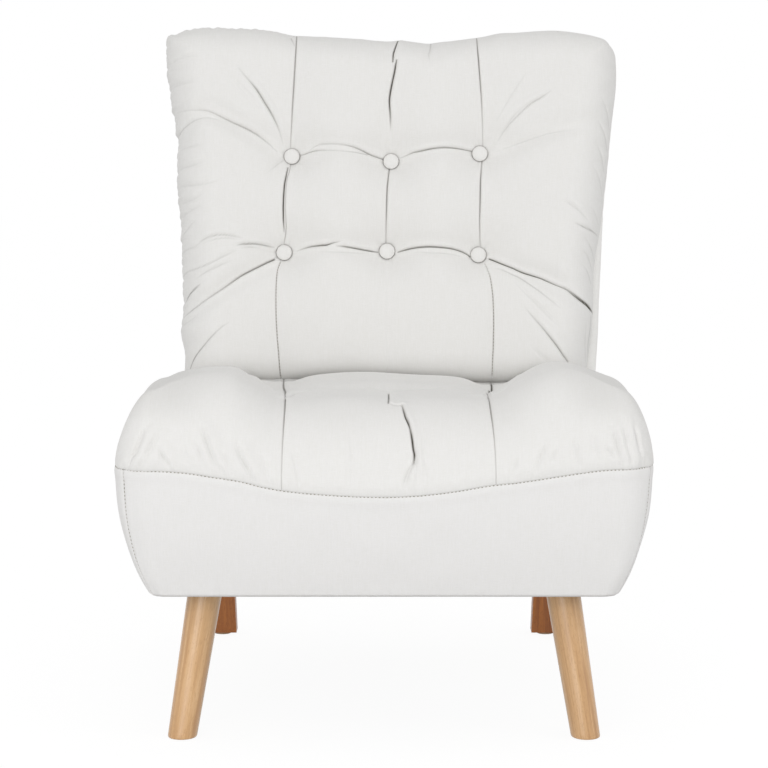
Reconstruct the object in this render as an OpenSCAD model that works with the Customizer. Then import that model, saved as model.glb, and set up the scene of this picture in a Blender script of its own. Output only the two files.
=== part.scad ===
// Armless accent chair: a boat-shaped upholstered base, a seat sewn in three channels, a
// reclined back with six covered buttons, round front legs and squared rear legs.
// Sizes are in millimetres. The chair faces -Y and stands on z 0, and the origin lies on
// the floor under the middle of the space that the chair takes up.

/* [Base] */
// Width of the seat at its side seams
seat_w = 656; // [620:2:700]
// Height of the underside above the floor
leg_h = 187; // [150:1:230]
// Height of the side seams above the underside
wall_h = 157; // [145:1:175]
// How far the front seam dips in the middle
seam_dip = 32; // [0:1:40]
// Depth of the underside, from the front seam to the rear face
base_d = 600; // [570:2:660]
// Radius of the curve that draws the sides in towards the underside
side_curve_r = 300; // [280:5:400]
// Radius of the curve that draws the front in towards the underside
front_curve_r = 620; // [500:10:900]
// Radius of the front corners, seen from above
corner_r = 50; // [40:1:60]
// Thickness of the sewn cover with its backing
cover_t = 3; // [2:0.5:4]
// Thickness of the padding over the front of the frame at its thinnest
border_pad_t = 8; // [5:1:14]

/* [Seat] */
// Height of the two side channels above the side seams
hump_h = 104; // [80:1:120]
// Height of the middle of the seat above the side seams
seat_mid_h = 74; // [60:1:90]
// Height of the sewn valleys above the side seams
valley_h = 58; // [45:1:70]
// Width of the roll round the edge of the seat
seat_roll = 112; // [90:1:130]
// Distance between the two channel seams
channel_w = 260; // [220:2:300]
// Distance from the front seam to the cross row of tufts
tuft_row_y = 250; // [220:2:280]
// Depth of the cross crease through the tufts
tuft_row_depth = 14; // [0:1:24]
// Depth of each blind tuft below the crease
tuft_depth = 10; // [0:1:16]
// Thickness of the firm foam under the seat cushion
seat_foam_t = 22; // [15:1:26]

/* [Back] */
// Angle of the back from upright
back_rake = 13; // [8:0.5:16]
// Length of the back along its rear face, from the underside to its highest point
back_len = 694; // [640:2:740]
// How far the top corners of the back stand in from the side seams of the seat
back_top_in = 4; // [0:0.5:14]
// How far the waist of the back, above the seat, stands in from those seams
back_waist_in = 34; // [24:1:46]
// How far the top edge dips in the middle
top_dip = 21; // [0:1:30]
// Radius of the top corners
top_corner_r = 30; // [20:1:40]
// Depth of the framed rear part of the back
shell_t = 68; // [60:1:80]
// Thickness of the back cushion at its fullest
back_cushion_t = 97; // [80:1:110]
// Width of the roll round the edge of the back cushion
back_roll = 58; // [45:1:70]
// Distance along the back from the underside to the bottom of its cushion
back_cushion_low = 178; // [170:1:195]
// Distance along the back from the underside to the lower row of buttons
lower_row = 359; // [330:1:380]
// Distance along the back between the two rows of buttons
row_pitch = 137; // [110:1:160]
// Diameter of a covered button
button_d = 22; // [18:0.5:26]
// Height of the dome of a button above its rim
button_dome = 5; // [3:0.5:7]
// Depth of the sewn valleys between the buttons
back_valley = 14; // [0:1:20]
// Depth of the dimple at each button
button_dimple = 24; // [12:1:30]

/* [Legs] */
// Diameter of a front leg at its top
front_leg_d = 43; // [36:0.5:50]
// Diameter of a front leg at its foot
front_foot_d = 36; // [26:0.5:40]
// Distance from a side seam in to the top of a front leg
front_leg_in = 107; // [103:1:123]
// Distance from the front seam to the top of a front leg
front_leg_y = 92; // [86:1:96]
// How far a front foot stands outwards from the top of its leg
front_foot_out = 29; // [0:1:40]
// How far a front foot stands forwards from the top of its leg
front_foot_fore = 32; // [0:1:40]
// Width of a rear leg
rear_leg_w = 42; // [34:0.5:46]
// Thickness of a rear leg, front to back
rear_leg_t = 28; // [22:0.5:32]
// How far a rear foot stands behind the top of its leg
rear_foot_back = 62; // [0:1:80]
// How far a rear foot stands inwards from the top of its leg
rear_foot_in = 3; // [0:0.5:8]
// Thickness of the glide under each foot
glide_t = 3; // [2:0.5:5]
// Diameter of a glide
glide_d = 24; // [18:0.5:26]

/* [Frame] */
// Thickness of the rails
rail_t = 22; // [18:1:24]
// Height of the rails
rail_h = 84; // [78:1:90]
// Width of a back post
post_w = 38; // [34:1:42]
// Depth of a back post
post_t = 50; // [44:1:54]
// Height of the cross rails of the back
back_rail_h = 60; // [50:1:70]
// Thickness of the cross rails of the back
back_rail_t = 24; // [18:1:26]
// Side of a corner block
block_w = 66; // [60:1:72]
// Height of a corner block
block_h = 60; // [40:1:70]
// Diameter of a dowel
dowel_d = 8; // [6:0.5:10]
// Length of a dowel
dowel_l = 36; // [28:1:40]
// Diameter of the bolts that hold the legs and posts
bolt_d = 8; // [6:0.5:8]
// Side of a leg plate
plate_w = 52; // [50:1:56]
// Thickness of a leg plate
plate_t = 3; // [2:0.5:3.5]
// Diameter of a seat spring's wire
wire_d = 3.6; // [3:0.2:4]
// Width of a seat spring
spring_w = 46; // [36:1:56]
// Distance between two bends of a seat spring
spring_pitch = 34; // [30:1:40]
// Number of seat springs
springs = 4; // [3:1:5]

/* [Hidden] */

// Smoothness of round pieces
$fn = 48;
// Clearance between pieces that lie against each other
fit = 0.3;
// How far a cut runs past the surface it opens
overrun = 2;
// A length that passes right through the whole chair
through = seat_w + base_d + back_len;

// Small sizes of the covers, boards, webbing and hardware
lining_t = 3;
top_pad_t = 14;
webbing_t = 1.8;
webbing_edge = 6;
strap_w = 50;
felt_t = 2;
dust_t = 0.8;
dust_edge = 4;
clip_wall = 1.2;
clip_w = 16;
screw_d = 4;
screw_l = 18;
screw_head_d = 7.5;
screw_head_t = 2.2;
plate_edge = 1.5;
plate_hole_extra = 3;
bolt_clear = 0.4;
twine_d = 2.4;
clasp_d = 30;
clasp_t = 2;
button_rim = 2;

// Heights above the floor
seam_z = leg_h + wall_h;
leg_top_z = leg_h + screw_head_t - fit;
plate_z = leg_top_z + fit;
frame_z = plate_z + plate_t;
rail_top_z = frame_z + rail_h;
spring_z = rail_top_z + clip_wall + wire_d / 2;
felt_z = rail_top_z + 2 * clip_wall + wire_d;
foam_z = felt_z + felt_t;
cushion_z = foam_z + seat_foam_t + fit;

// Widths of the back, and place of a front leg from the middle of the chair
back_top_w = seat_w - 2 * back_top_in;
back_waist_w = seat_w - 2 * back_waist_in;
front_leg_x = seat_w / 2 - front_leg_in;

// Half of the front seam over which it rises from its lowest point
seam_rise_x = seat_w / 2 - corner_r / 3;
// Angle round a front corner at which the front cover is sewn to a side cover
corner_seam_a = 41;
// Space that the chair takes up from front to rear, whose middle is the origin
rear_reach = base_d + back_len * sin(back_rake);
mid_y = rear_reach / 2;

// Distances inside the raked rear face of the back, towards the sitter
post_n = cover_t + lining_t + 2 * fit;
post_front_n = post_n + post_t;
pad_n = post_front_n + webbing_t + 2 * fit;
cushion_rim_n = shell_t + 14;
rim_tuck = 5;

// Places of the frame from the middle and from the front seam
rail_out_x = half_at(frame_z) - cover_t - 2 * fit;
rail_in_x = rail_out_x - rail_t;
post_in_x = rail_in_x - fit - post_w;
post_mid_x = rail_in_x - fit - post_w / 2;
front_rail_y = front_at(frame_z) + cover_t + border_pad_t;
block_y = front_rail_y + rail_t + fit;
side_rail_y = front_at(frame_z) + corner_r;
side_rail_end_y = rear_y(post_n, frame_z);
rear_rail_end_y = rear_y(post_front_n, frame_z) - fit;
rear_rail_y = rear_rail_end_y - rail_t;
rear_leg_y = rear_y(cover_t + 2 * fit, leg_h) - rear_leg_t / 2 - overrun;

// Places along the back, from the underside
top_rise_x = back_top_w / 2 - 84;
post_top_w = back_len - top_dip - cover_t - top_pad_t - fit;
top_rail_low = post_top_w - back_rail_h;
lumbar_low = back_cushion_low + strap_w / 2;
strip_low = wall_h - shell_t / 2;
lining_low = frame_z - leg_h;
corner_low = top_at(back_top_w / 2 - top_corner_r) - top_corner_r;
waist_at = back_cushion_low + 12;
spread_at = back_len - 74;
spread_power = 1.5;
rows_w = [lower_row, lower_row + row_pitch];

// Swell of the seat and back between their seams
swell_power = 0.8;
seat_hump_run = 86;
seat_fall_run = 170;
hump_fall_lead = 100;
hump_fall_share = 0.6;
crease_w = 30;
back_swell_run = 70;
button_flat = button_d / 2 + 4;
dimple_run = 60;
// Place where the seat's top meets the face of the back cushion
seat_back_y =
    base_d + back_cushion_low * sin(back_rake) - (shell_t + back_cushion_t) * cos(back_rake);

// Heights of dowels, bolts and screws as shares of the wood that holds them
dowel_height_shares = [0.28, 0.72];
dowel_side_shares = [0.2, 0.8];
block_dowel_share = 0.75;
block_screw_shares = [[0.8, 0.75], [0.88, 0.4]];
post_bolt_shares = [0.52, 0.85];
spring_reach_share = 0.66;
spring_reach = rail_in_x * spring_reach_share;
// Places of the webbing straps, in row pitches above the lower row of buttons
strap_shares = [-0.6, 0.5, 1.55];
// Places of the buttons across the back, in half-widths of its top
lower_button_shares = [-0.435, 0.009, 0.414];
upper_button_shares = [-0.407, 0.031, 0.42];
// Steps of the seat's surface: across from the middle to a seam and on to the side,
// and back from the front seam to the tufts and on to the rear
inner_col_shares = [0, 0.25, 0.5, 0.75, 0.9];
outer_col_shares = [0, 0.07, 0.17, 0.3, 0.45, 0.6, 0.74, 0.84, 0.91, 0.96, 0.99, 1];
front_row_shares = [0, 0.012, 0.04, 0.09, 0.16, 0.26, 0.38, 0.5, 0.62, 0.74, 0.85, 0.93];
rear_row_shares = [0, 0.05, 0.12, 0.22, 0.34, 0.47, 0.6, 0.705, 0.72, 0.86, 1];
// Steps of the back cushion's surface between its edges and its seams
edge_shares = [0, 0.015, 0.05, 0.11, 0.2, 0.33, 0.5, 0.7, 0.88];
between_shares = [0.2, 0.5, 0.8];
low_shares = [0, 0.2, 0.4, 0.6, 0.8];
high_shares = [0.12, 0.27, 0.43, 0.59, 0.73, 0.84, 0.92, 0.97, 1];

// Half-width of the base at a height: an arc that stands upright at the seam
function half_at(z) =
    seat_w / 2 - side_curve_r
    + sqrt(pow(side_curve_r, 2) - pow(seam_z - min(z, seam_z), 2));

// Distance of the front face behind the front seam at a height: a flatter arc
function front_at(z) =
    front_curve_r - sqrt(pow(front_curve_r, 2) - pow(seam_z - min(z, seam_z), 2));

// Place of a plane that lies n inside the raked rear face, at a height
function rear_y(n, z) = base_d + (z - leg_h) * tan(back_rake) - n / cos(back_rake);

// Height of the front seam across the seat: one smooth wave, lowest in the middle
function seam_at(x) =
    seam_z - seam_dip * (1 + cos(180 * min(abs(x), seam_rise_x) / seam_rise_x)) / 2;

// Smooth step from 0 to 1 as t goes from 0 to 1
function ease(t) = (1 - cos(180 * max(0, min(1, t)))) / 2;

// Quarter ellipse that rises from 0 at an edge to 1 at the end of its roll
function roll_up(d, roll) = sqrt(1 - pow(1 - max(0, min(d, roll)) / roll, 2));

// Bell curve that is 1 in the middle and fades over a width
function bell(d, width) = exp(-pow(d / width, 2));

// Values between two ends, at shares of the way
function spread(from, to, shares) = [for (s = shares) from + (to - from) * s];

// Faces of a grid of points, seen from its outer side
function grid_faces(rows, cols, first = 0) = [
    for (i = [0 : rows - 2], j = [0 : cols - 2])
        let (a = first + i * cols + j, b = a + cols)
        each [[a, b, b + 1], [a, b + 1, a + 1]]
];

// Places of the points round the rim of a grid
function rim_of(rows, cols) = concat(
    [for (j = [0 : cols - 2]) j],
    [for (i = [0 : rows - 2]) i * cols + cols - 1],
    [for (j = [cols - 1 : -1 : 1]) (rows - 1) * cols + j],
    [for (i = [rows - 1 : -1 : 1]) i * cols]
);

// Faces between two closed loops of points with as many points each
function band_faces(upper, lower) = [
    for (k = [0 : len(upper) - 1])
        let (n = (k + 1) % len(upper))
        each [[upper[k], upper[n], lower[n]], [upper[k], lower[n], lower[k]]]
];

// Thin sheet between an outer and an inner grid of points
module sheet(outer, inner) {
    rows = len(outer);
    cols = len(outer[0]);
    count = rows * cols;
    rim = rim_of(rows, cols);
    back = [for (f = grid_faces(rows, cols, count)) [f[0], f[2], f[1]]];
    polyhedron(
        points = concat([for (row = outer) each row], [for (row = inner) each row]),
        faces = concat(grid_faces(rows, cols), back,
            band_faces(rim, [for (k = rim) k + count]))
    );
}

// Solid under a grid of points, with loops that follow its rim down to a flat face
module domed(top, loops, hub) {
    rows = len(top);
    cols = len(top[0]);
    rim = rim_of(rows, cols);
    count = len(rim);
    rings = concat([rim], [
        for (i = [0 : len(loops) - 1]) [for (k = [0 : count - 1]) rows * cols + i * count + k]
    ]);
    last = rings[len(loops)];
    hub_at = rows * cols + len(loops) * count;
    polyhedron(
        points = concat([for (row = top) each row], [for (loop = loops) each loop], [hub]),
        faces = concat(grid_faces(rows, cols),
            [for (i = [0 : len(loops) - 1]) each band_faces(rings[i], rings[i + 1])],
            [for (k = [0 : count - 1]) [last[k], last[(k + 1) % count], hub_at]])
    );
}

// Moves the chair from its front seam to its origin
module placed() {
    translate([0, -mid_y, 0]) children();
}

// Left-hand copy of a right-hand piece
module left() {
    mirror([1, 0, 0]) children();
}

// Right-hand piece and its left-hand copy
module both() {
    children();
    left() children();
}

// Frame of the raked back: x across, z along the rear face, -y out towards the sitter
module reclined() {
    translate([0, base_d, leg_h]) rotate([-back_rake, 0, 0]) children();
}

// Sheet of the back that starts n in front of the rear face
module back_layer(n, t) {
    reclined() translate([0, -n, 0]) rotate([90, 0, 0]) linear_extrude(t) children();
}

// Everything above a height
module above(z) {
    intersection() {
        children();
        translate([-through, -through, z]) cube([2 * through, 3 * through, through]);
    }
}

// Everything between two heights
module between(z0, z1) {
    intersection() {
        children();
        translate([-through, -through, z0]) cube([2 * through, 3 * through, z1 - z0]);
    }
}

// Stands children that point up on the line from one point to another
module along(from, to) {
    d = to - from;
    translate(from) rotate([0, acos(d[2] / norm(d)), atan2(d[1], d[0])]) children();
}

// Rounded rectangle from straight edges and true arcs
module rounded(x0, y0, x1, y1, r) {
    translate([x0 + r, y0]) square([x1 - x0 - 2 * r, y1 - y0]);
    translate([x0, y0 + r]) square([x1 - x0, y1 - y0 - 2 * r]);
    for (x = [x0 + r, x1 - r], y = [y0 + r, y1 - r]) translate([x, y]) circle(r);
}

// Point of the base wall on a front corner, at an angle from straight ahead
function corner_point(a, z, inset) = [
    half_at(z) - corner_r + (corner_r - inset) * sin(a),
    front_at(z) + corner_r - (corner_r - inset) * cos(a)
];

// Row of points along the front cover, from the left seam to the right one
corner_steps = 5;
front_steps = 16;
function front_row(z, inset) =
    let (arc = [for (i = [0 : corner_steps]) corner_point(corner_seam_a * i / corner_steps, z, inset)])
    concat(
        [for (i = [corner_steps : -1 : 0]) [-arc[i][0], arc[i][1]]],
        [for (i = [1 : front_steps - 1]) [arc[0][0] * (2 * i / front_steps - 1), arc[0][1]]],
        arc
    );

// Row of points along the right side cover, from its seam on the corner to the rear
side_steps = 6;
function side_row(z, inset) =
    let (
        arc = [for (i = [0 : corner_steps])
            corner_point(corner_seam_a + (90 - corner_seam_a) * i / corner_steps, z, inset)],
        y0 = arc[corner_steps][1],
        y1 = rear_y(cover_t + fit, z)
    )
    concat(arc, [for (i = [1 : side_steps]) [half_at(z) - inset, y0 + (y1 - y0) * i / side_steps]]);

// Rows of a wall cover, from the underside up to the seam over each point
wall_rows = 7;
function wall_grid(side, inset) = [
    for (i = [0 : wall_rows])
        let (top = side ? side_row(seam_z, inset) : front_row(seam_z, inset))
        [for (j = [0 : len(top) - 1])
            let (
                z = leg_h + (seam_at(top[j][0]) - fit - leg_h) * i / wall_rows,
                p = side ? side_row(z, inset)[j] : front_row(z, inset)[j]
            )
            [p[0], p[1], z]]
];

module base_cover_front() {
    color("ivory") placed() sheet(wall_grid(false, 0), wall_grid(false, cover_t));
}

module side_cover() {
    color("ivory") sheet(wall_grid(true, 0), wall_grid(true, cover_t));
}

module base_cover_right() {
    placed() side_cover();
}

module base_cover_left() {
    placed() left() side_cover();
}

// Foam between the rails and the covers, from just above the underside to the felt
pad_low_z = frame_z + border_pad_t;
pad_rows = 5;
pad_cols = 6;
pad_inset = cover_t + 2 * fit;

function pad_z(i) = pad_low_z + (foam_z - fit - pad_low_z) * i / pad_rows;

module base_pad_front() {
    reach = rail_out_x - corner_r;
    color("khaki") placed() sheet(
        [for (i = [0 : pad_rows]) [for (j = [0 : pad_cols])
            [reach * (2 * j / pad_cols - 1), front_at(pad_z(i)) + pad_inset, pad_z(i)]]],
        [for (i = [0 : pad_rows]) [for (j = [0 : pad_cols])
            [reach * (2 * j / pad_cols - 1), front_rail_y - fit, pad_z(i)]]]
    );
}

module side_pad() {
    y0 = front_at(leg_h) + corner_r;
    y1 = rear_rail_end_y;
    color("khaki") sheet(
        [for (i = [0 : pad_rows]) [for (j = [0 : pad_cols])
            [half_at(pad_z(i)) - pad_inset, y0 + (y1 - y0) * j / pad_cols, pad_z(i)]]],
        [for (i = [0 : pad_rows]) [for (j = [0 : pad_cols])
            [rail_out_x + fit, y0 + (y1 - y0) * j / pad_cols, pad_z(i)]]]
    );
}

module base_pad_right() {
    placed() side_pad();
}

module base_pad_left() {
    placed() left() side_pad();
}

// Ends of the legs' axes
front_top = [front_leg_x, front_leg_y, leg_top_z];
front_foot = [front_leg_x + front_foot_out, front_leg_y - front_foot_fore, glide_t];
rear_top = [post_mid_x, rear_leg_y, leg_top_z];
rear_foot = [post_mid_x - rear_foot_in, rear_leg_y + rear_foot_back, glide_t];
// How far a leg's raw shape runs past its flat ends
leg_extra = front_leg_d / 2;
// Hanger bolts: length in the leg and above it, and the clearance of their bores
hanger_in = 36;
hanger_up = 26;
// Turns of a hanger bolt and of a front leg round their own axes
bore_turn = 30;
cone_turn = 90;
glide_pin_d = 3;
glide_pin_l = 12;

// Bolt, or its bore, on the axis of a leg
module hanger(top, foot, extra) {
    dir = (top - foot) / norm(top - foot);
    along(top - dir * (hanger_in + extra / 2), top + dir)
        rotate([0, 0, bore_turn]) cylinder(d = bolt_d + extra, h = hanger_in + plate_t + hanger_up + extra);
}

// Hole for the pin of a glide
module glide_hole(foot) {
    translate([foot[0], foot[1], 0])
        cylinder(d = glide_pin_d + bolt_clear, h = glide_t + glide_pin_l + fit);
}

module front_leg() {
    length = norm(front_top - front_foot);
    slope = (front_leg_d - front_foot_d) / length;
    dir = (front_top - front_foot) / length;
    color("burlywood") difference() {
        between(glide_t, leg_top_z)
            along(front_foot - dir * leg_extra, front_top) rotate([0, 0, cone_turn])
            cylinder(d1 = front_foot_d - slope * leg_extra, d2 = front_leg_d + slope * leg_extra,
                h = length + 2 * leg_extra);
        hanger(front_top, front_foot, bolt_clear);
        glide_hole(front_foot);
    }
}

module front_leg_right() {
    placed() front_leg();
}

module front_leg_left() {
    placed() left() front_leg();
}

module rear_leg() {
    length = norm(rear_top - rear_foot);
    dir = (rear_top - rear_foot) / length;
    rake_a = atan2(rear_foot_back, leg_top_z - glide_t);
    lean_a = atan2(rear_foot_in, leg_top_z - glide_t);
    color("sienna") difference() {
        between(glide_t, leg_top_z)
            translate(rear_foot - dir * leg_extra)
            rotate([rake_a, lean_a, 0])
            translate([-rear_leg_w / 2, -rear_leg_t / 2, 0])
            cube([rear_leg_w, rear_leg_t, length + 2 * leg_extra]);
        hanger(rear_top, rear_foot, bolt_clear);
        glide_hole(rear_foot);
    }
}

module rear_leg_right() {
    placed() rear_leg();
}

module rear_leg_left() {
    placed() left() rear_leg();
}

module leg_glides() {
    color("dimgray") placed() both() for (foot = [front_foot, rear_foot])
        translate([foot[0], foot[1], 0]) {
            cylinder(d = glide_d, h = glide_t);
            cylinder(d = glide_pin_d, h = glide_t + glide_pin_l);
        }
}

// Distance of the screws in a leg plate from its middle
plate_screw_at = plate_w / 2 - screw_head_d / 2 - plate_edge;
// Rear plates lie under the posts, with their screws in front of the legs
rear_plate_y0 = rear_rail_end_y + plate_edge;
rear_plate_y1 = rear_y(cover_t + 2 * fit, plate_z) - fit;
rear_screw_y = rear_plate_y0 + screw_head_d / 2 + plate_edge;

module at_front_screws() {
    for (x = [-plate_screw_at, plate_screw_at], y = [-plate_screw_at, plate_screw_at])
        translate([front_top[0] + x, front_top[1] + y, 0]) children();
}

module at_rear_screws() {
    for (x = [-post_w / 2 + screw_head_d, post_w / 2 - screw_head_d])
        translate([post_mid_x + x, rear_screw_y, 0]) children();
}

module plate_holes(top) {
    translate([top[0], top[1], plate_z - overrun])
        cylinder(d = bolt_d + plate_hole_extra, h = plate_t + 2 * overrun);
}

module screw_hole() {
    translate([0, 0, plate_z - overrun]) cylinder(d = screw_d + bolt_clear, h = plate_t + 2 * overrun);
}

module leg_plates() {
    color("silver") placed() both() {
        difference() {
            translate([front_top[0] - plate_w / 2, front_top[1] - plate_w / 2, plate_z])
                cube([plate_w, plate_w, plate_t]);
            plate_holes(front_top);
            at_front_screws() screw_hole();
        }
        difference() {
            translate([post_mid_x - plate_w / 2, rear_plate_y0, plate_z])
                cube([plate_w, rear_plate_y1 - rear_plate_y0, plate_t]);
            plate_holes(rear_top);
            at_rear_screws() screw_hole();
        }
    }
}

module plate_screw() {
    translate([0, 0, plate_z - fit - screw_head_t]) {
        cylinder(d = screw_head_d, h = screw_head_t);
        cylinder(d = screw_d, h = screw_head_t + screw_l);
    }
}

module plate_screws() {
    color("gray") placed() both() {
        at_front_screws() plate_screw();
        at_rear_screws() plate_screw();
    }
}

module hanger_bolts() {
    color("silver") placed() both() {
        hanger(front_top, front_foot, 0);
        hanger(rear_top, rear_foot, 0);
    }
}

// Bore for a plate screw in the wood above a plate
module screw_bore() {
    translate([0, 0, frame_z - overrun]) cylinder(d = screw_d + bolt_clear, h = overrun + screw_l);
}

// Dowel that lies across the chair, centred on a point
module dowel_across(at, extra) {
    translate([at[0] - (dowel_l + extra) / 2, at[1], at[2]]) rotate([0, 90, 0])
        cylinder(d = dowel_d + extra, h = dowel_l + extra);
}

// Dowel that lies front to rear, centred on a point
module dowel_deep(at, extra) {
    translate([at[0], at[1] - (dowel_l + extra) / 2, at[2]]) rotate([-90, 0, 0])
        cylinder(d = dowel_d + extra, h = dowel_l + extra);
}

// Dowels of the seat frame on the right: rear rail to side rail, front rail to block
rail_end_wood = 4;
module frame_dowels_right(extra) {
    across_x = rail_out_x - rail_end_wood - dowel_l / 2;
    for (s = dowel_height_shares)
        dowel_across([across_x, rear_rail_y + rail_t / 2, frame_z + rail_h * s], extra);
    for (s = dowel_side_shares)
        dowel_deep([rail_in_x - block_w * s, front_rail_y + rail_end_wood + dowel_l / 2,
            frame_z + block_h * block_dowel_share], extra);
}

// Screws that hold a corner block to its side rail, with their heads in the block
block_screw_d = 4.5;
block_screw_head_d = 9;
block_screw_head_t = 3;
module block_screw(extra) {
    x0 = rail_in_x - block_w;
    for (s = block_screw_shares) translate([x0, block_y + block_w * s[0], frame_z + block_h * s[1]])
        rotate([0, 90, 0]) {
            translate([0, 0, -extra * overrun]) cylinder(d = block_screw_head_d + extra, h = block_screw_head_t + extra * overrun);
            cylinder(d = block_screw_d + extra, h = block_w + rail_t - rail_end_wood + extra);
        }
}

module front_rail() {
    reach = rail_in_x - fit;
    color("wheat") placed() difference() {
        translate([-reach, front_rail_y, frame_z]) cube([2 * reach, rail_t, rail_h]);
        both() frame_dowels_right(bolt_clear);
    }
}

module rear_rail() {
    reach = rail_in_x - fit;
    color("wheat") placed() difference() {
        translate([-reach, rear_rail_y, frame_z]) cube([2 * reach, rail_t, rail_h]);
        both() frame_dowels_right(bolt_clear);
    }
}

module side_rail() {
    color("wheat") difference() {
        translate([rail_in_x, side_rail_y, frame_z])
            cube([rail_t, side_rail_end_y - side_rail_y, rail_h]);
        frame_dowels_right(bolt_clear);
        block_screw(bolt_clear);
        post_bolt(bolt_clear);
    }
}

module side_rail_right() {
    placed() side_rail();
}

module side_rail_left() {
    placed() left() side_rail();
}

module corner_blocks() {
    color("tan") placed() both() difference() {
        translate([rail_in_x - fit - block_w, block_y, frame_z]) cube([block_w, block_w, block_h]);
        hanger(front_top, front_foot, bolt_clear);
        at_front_screws() screw_bore();
        frame_dowels_right(bolt_clear);
        block_screw(bolt_clear);
    }
}

module block_screws() {
    color("gray") placed() both() block_screw(0);
}

module frame_dowels() {
    color("peru") placed() both() frame_dowels_right(0);
}

// Bolts through a side rail and a back post, with heads let into the rail
bolt_head_d = 14;
bolt_head_t = 5;
nut_t = 6;
nut_d = 15;
module post_bolt(extra) {
    for (s = post_bolt_shares) {
        z = frame_z + rail_h * s;
        translate([0, rear_y(post_n + post_t / 2, z), z]) rotate([0, 90, 0]) {
            translate([0, 0, post_in_x - nut_t - overrun])
                cylinder(d = bolt_d + extra, h = rail_out_x - post_in_x + nut_t);
            translate([0, 0, rail_out_x - bolt_head_t])
                cylinder(d = bolt_head_d + extra, h = bolt_head_t + extra * overrun);
        }
    }
}

module post_bolts() {
    color("silver") placed() both() post_bolt(0);
}

module post_nuts() {
    color("silver") placed() both() for (s = post_bolt_shares) {
        z = frame_z + rail_h * s;
        translate([post_in_x - fit - nut_t, rear_y(post_n + post_t / 2, z), z]) rotate([0, 90, 0])
            difference() {
                cylinder(d = nut_d, h = nut_t, $fn = 6);
                translate([0, 0, -overrun]) cylinder(d = bolt_d + bolt_clear, h = nut_t + 2 * overrun);
            }
    }
}

// Dowels of the back frame on the right, in the frame of the raked back
module back_dowels_right(extra) {
    for (low = [top_rail_low, lumbar_low], s = dowel_height_shares)
        dowel_across([post_in_x - fit, -(post_front_n - back_rail_t / 2), low + back_rail_h * s], extra);
}

module back_post() {
    color("wheat") difference() {
        above(frame_z) reclined() translate([post_in_x, -post_front_n, -post_front_n])
            cube([post_w, post_t, post_top_w + post_front_n]);
        hanger(rear_top, rear_foot, bolt_clear);
        at_rear_screws() screw_bore();
        post_bolt(bolt_clear);
        reclined() back_dowels_right(bolt_clear);
    }
}

module back_post_right() {
    placed() back_post();
}

module back_post_left() {
    placed() left() back_post();
}

// Cross rail between the back posts, from a height along the back
module back_rail(low) {
    reach = post_in_x - fit;
    color("wheat") placed() reclined() difference() {
        translate([-reach, -post_front_n, low]) cube([2 * reach, back_rail_t, back_rail_h]);
        both() back_dowels_right(bolt_clear);
    }
}

module back_top_rail() {
    back_rail(top_rail_low);
}

module back_lumbar_rail() {
    back_rail(lumbar_low);
}

module back_dowels() {
    color("peru") placed() reclined() both() back_dowels_right(0);
}

// Centre line of a sinuous spring: straight runs across, joined by half-round bends
spring_front_y = front_rail_y + rail_t / 2;
spring_runs = 1 + round((rear_rail_y + rail_t / 2 - spring_front_y) / spring_pitch);
spring_step = (rear_rail_y + rail_t / 2 - spring_front_y) / (spring_runs - 1);
spring_bend_steps = 3;
spring_sides = 5;

function spring_path(x) = [
    for (i = [0 : spring_runs - 1])
        let (s = i % 2 == 0 ? 1 : -1, reach = spring_w / 2 - spring_step / 2, y = spring_front_y + i * spring_step)
        each concat(
            i == 0 ? [[x - s * reach, y, spring_z]] : [],
            i == spring_runs - 1 ? [[x + s * reach, y, spring_z]] : [
                for (k = [0 : spring_bend_steps])
                    let (a = 180 * k / spring_bend_steps)
                    [x + s * (reach + spring_step / 2 * sin(a)), y + spring_step / 2 * (1 - cos(a)), spring_z]
            ]
        )
];

// Tube with flat ends along a path that lies level
module level_tube(path, d, sides) {
    last = len(path) - 1;
    turn = [for (i = [0 : last]) path[min(i + 1, last)] - path[max(i - 1, 0)]];
    points = [for (i = [0 : last], k = [0 : sides - 1])
        let (t = turn[i] / norm(turn[i]), a = 360 * k / sides)
        path[i] + d / 2 * (cos(a) * [t[1], -t[0], 0] + sin(a) * [0, 0, 1])];
    polyhedron(
        points = points,
        faces = concat(
            [for (i = [0 : last - 1], k = [0 : sides - 1])
                let (a = i * sides + k, b = i * sides + (k + 1) % sides)
                each [[a, a + sides, b + sides], [a, b + sides, b]]],
            [for (k = [1 : sides - 2]) [0, k, k + 1]],
            [for (k = [1 : sides - 2]) [last * sides, last * sides + k + 1, last * sides + k]]
        )
    );
}

function spring_x(i) = spring_reach * (2 * i / (springs - 1) - 1);

module seat_springs() {
    color("gray") placed() for (i = [0 : springs - 1])
        level_tube(spring_path(spring_x(i)), wire_d, spring_sides);
}

module spring_clips() {
    clip_h = wire_d + 2 * clip_wall - fit;
    color("silver") placed() for (i = [0 : springs - 1], y = [spring_front_y, rear_rail_y + rail_t / 2])
        translate([spring_x(i), y, 0]) difference() {
            translate([-clip_w / 4, -clip_w / 2, rail_top_z]) cube([clip_w / 2, clip_w, clip_h]);
            translate([-clip_w, 0, spring_z]) rotate([0, 90, 0])
                cylinder(d = wire_d + bolt_clear, h = 2 * clip_w);
        }
}

module spring_felt() {
    reach = rail_in_x - post_w;
    color("dimgray") placed() translate([-reach, front_rail_y, felt_z])
        cube([2 * reach, rear_rail_end_y - front_rail_y, felt_t - fit]);
}

module seat_foam() {
    y0 = front_at(foam_z) + cover_t + 2 * fit;
    y1 = rear_y(post_front_n + 2 * fit, foam_z);
    reach = half_at(foam_z) - cover_t - 2 * fit;
    color("khaki") placed() translate([0, 0, foam_z]) linear_extrude(seat_foam_t)
        rounded(-reach, y0, reach, y1, corner_r);
}

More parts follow.
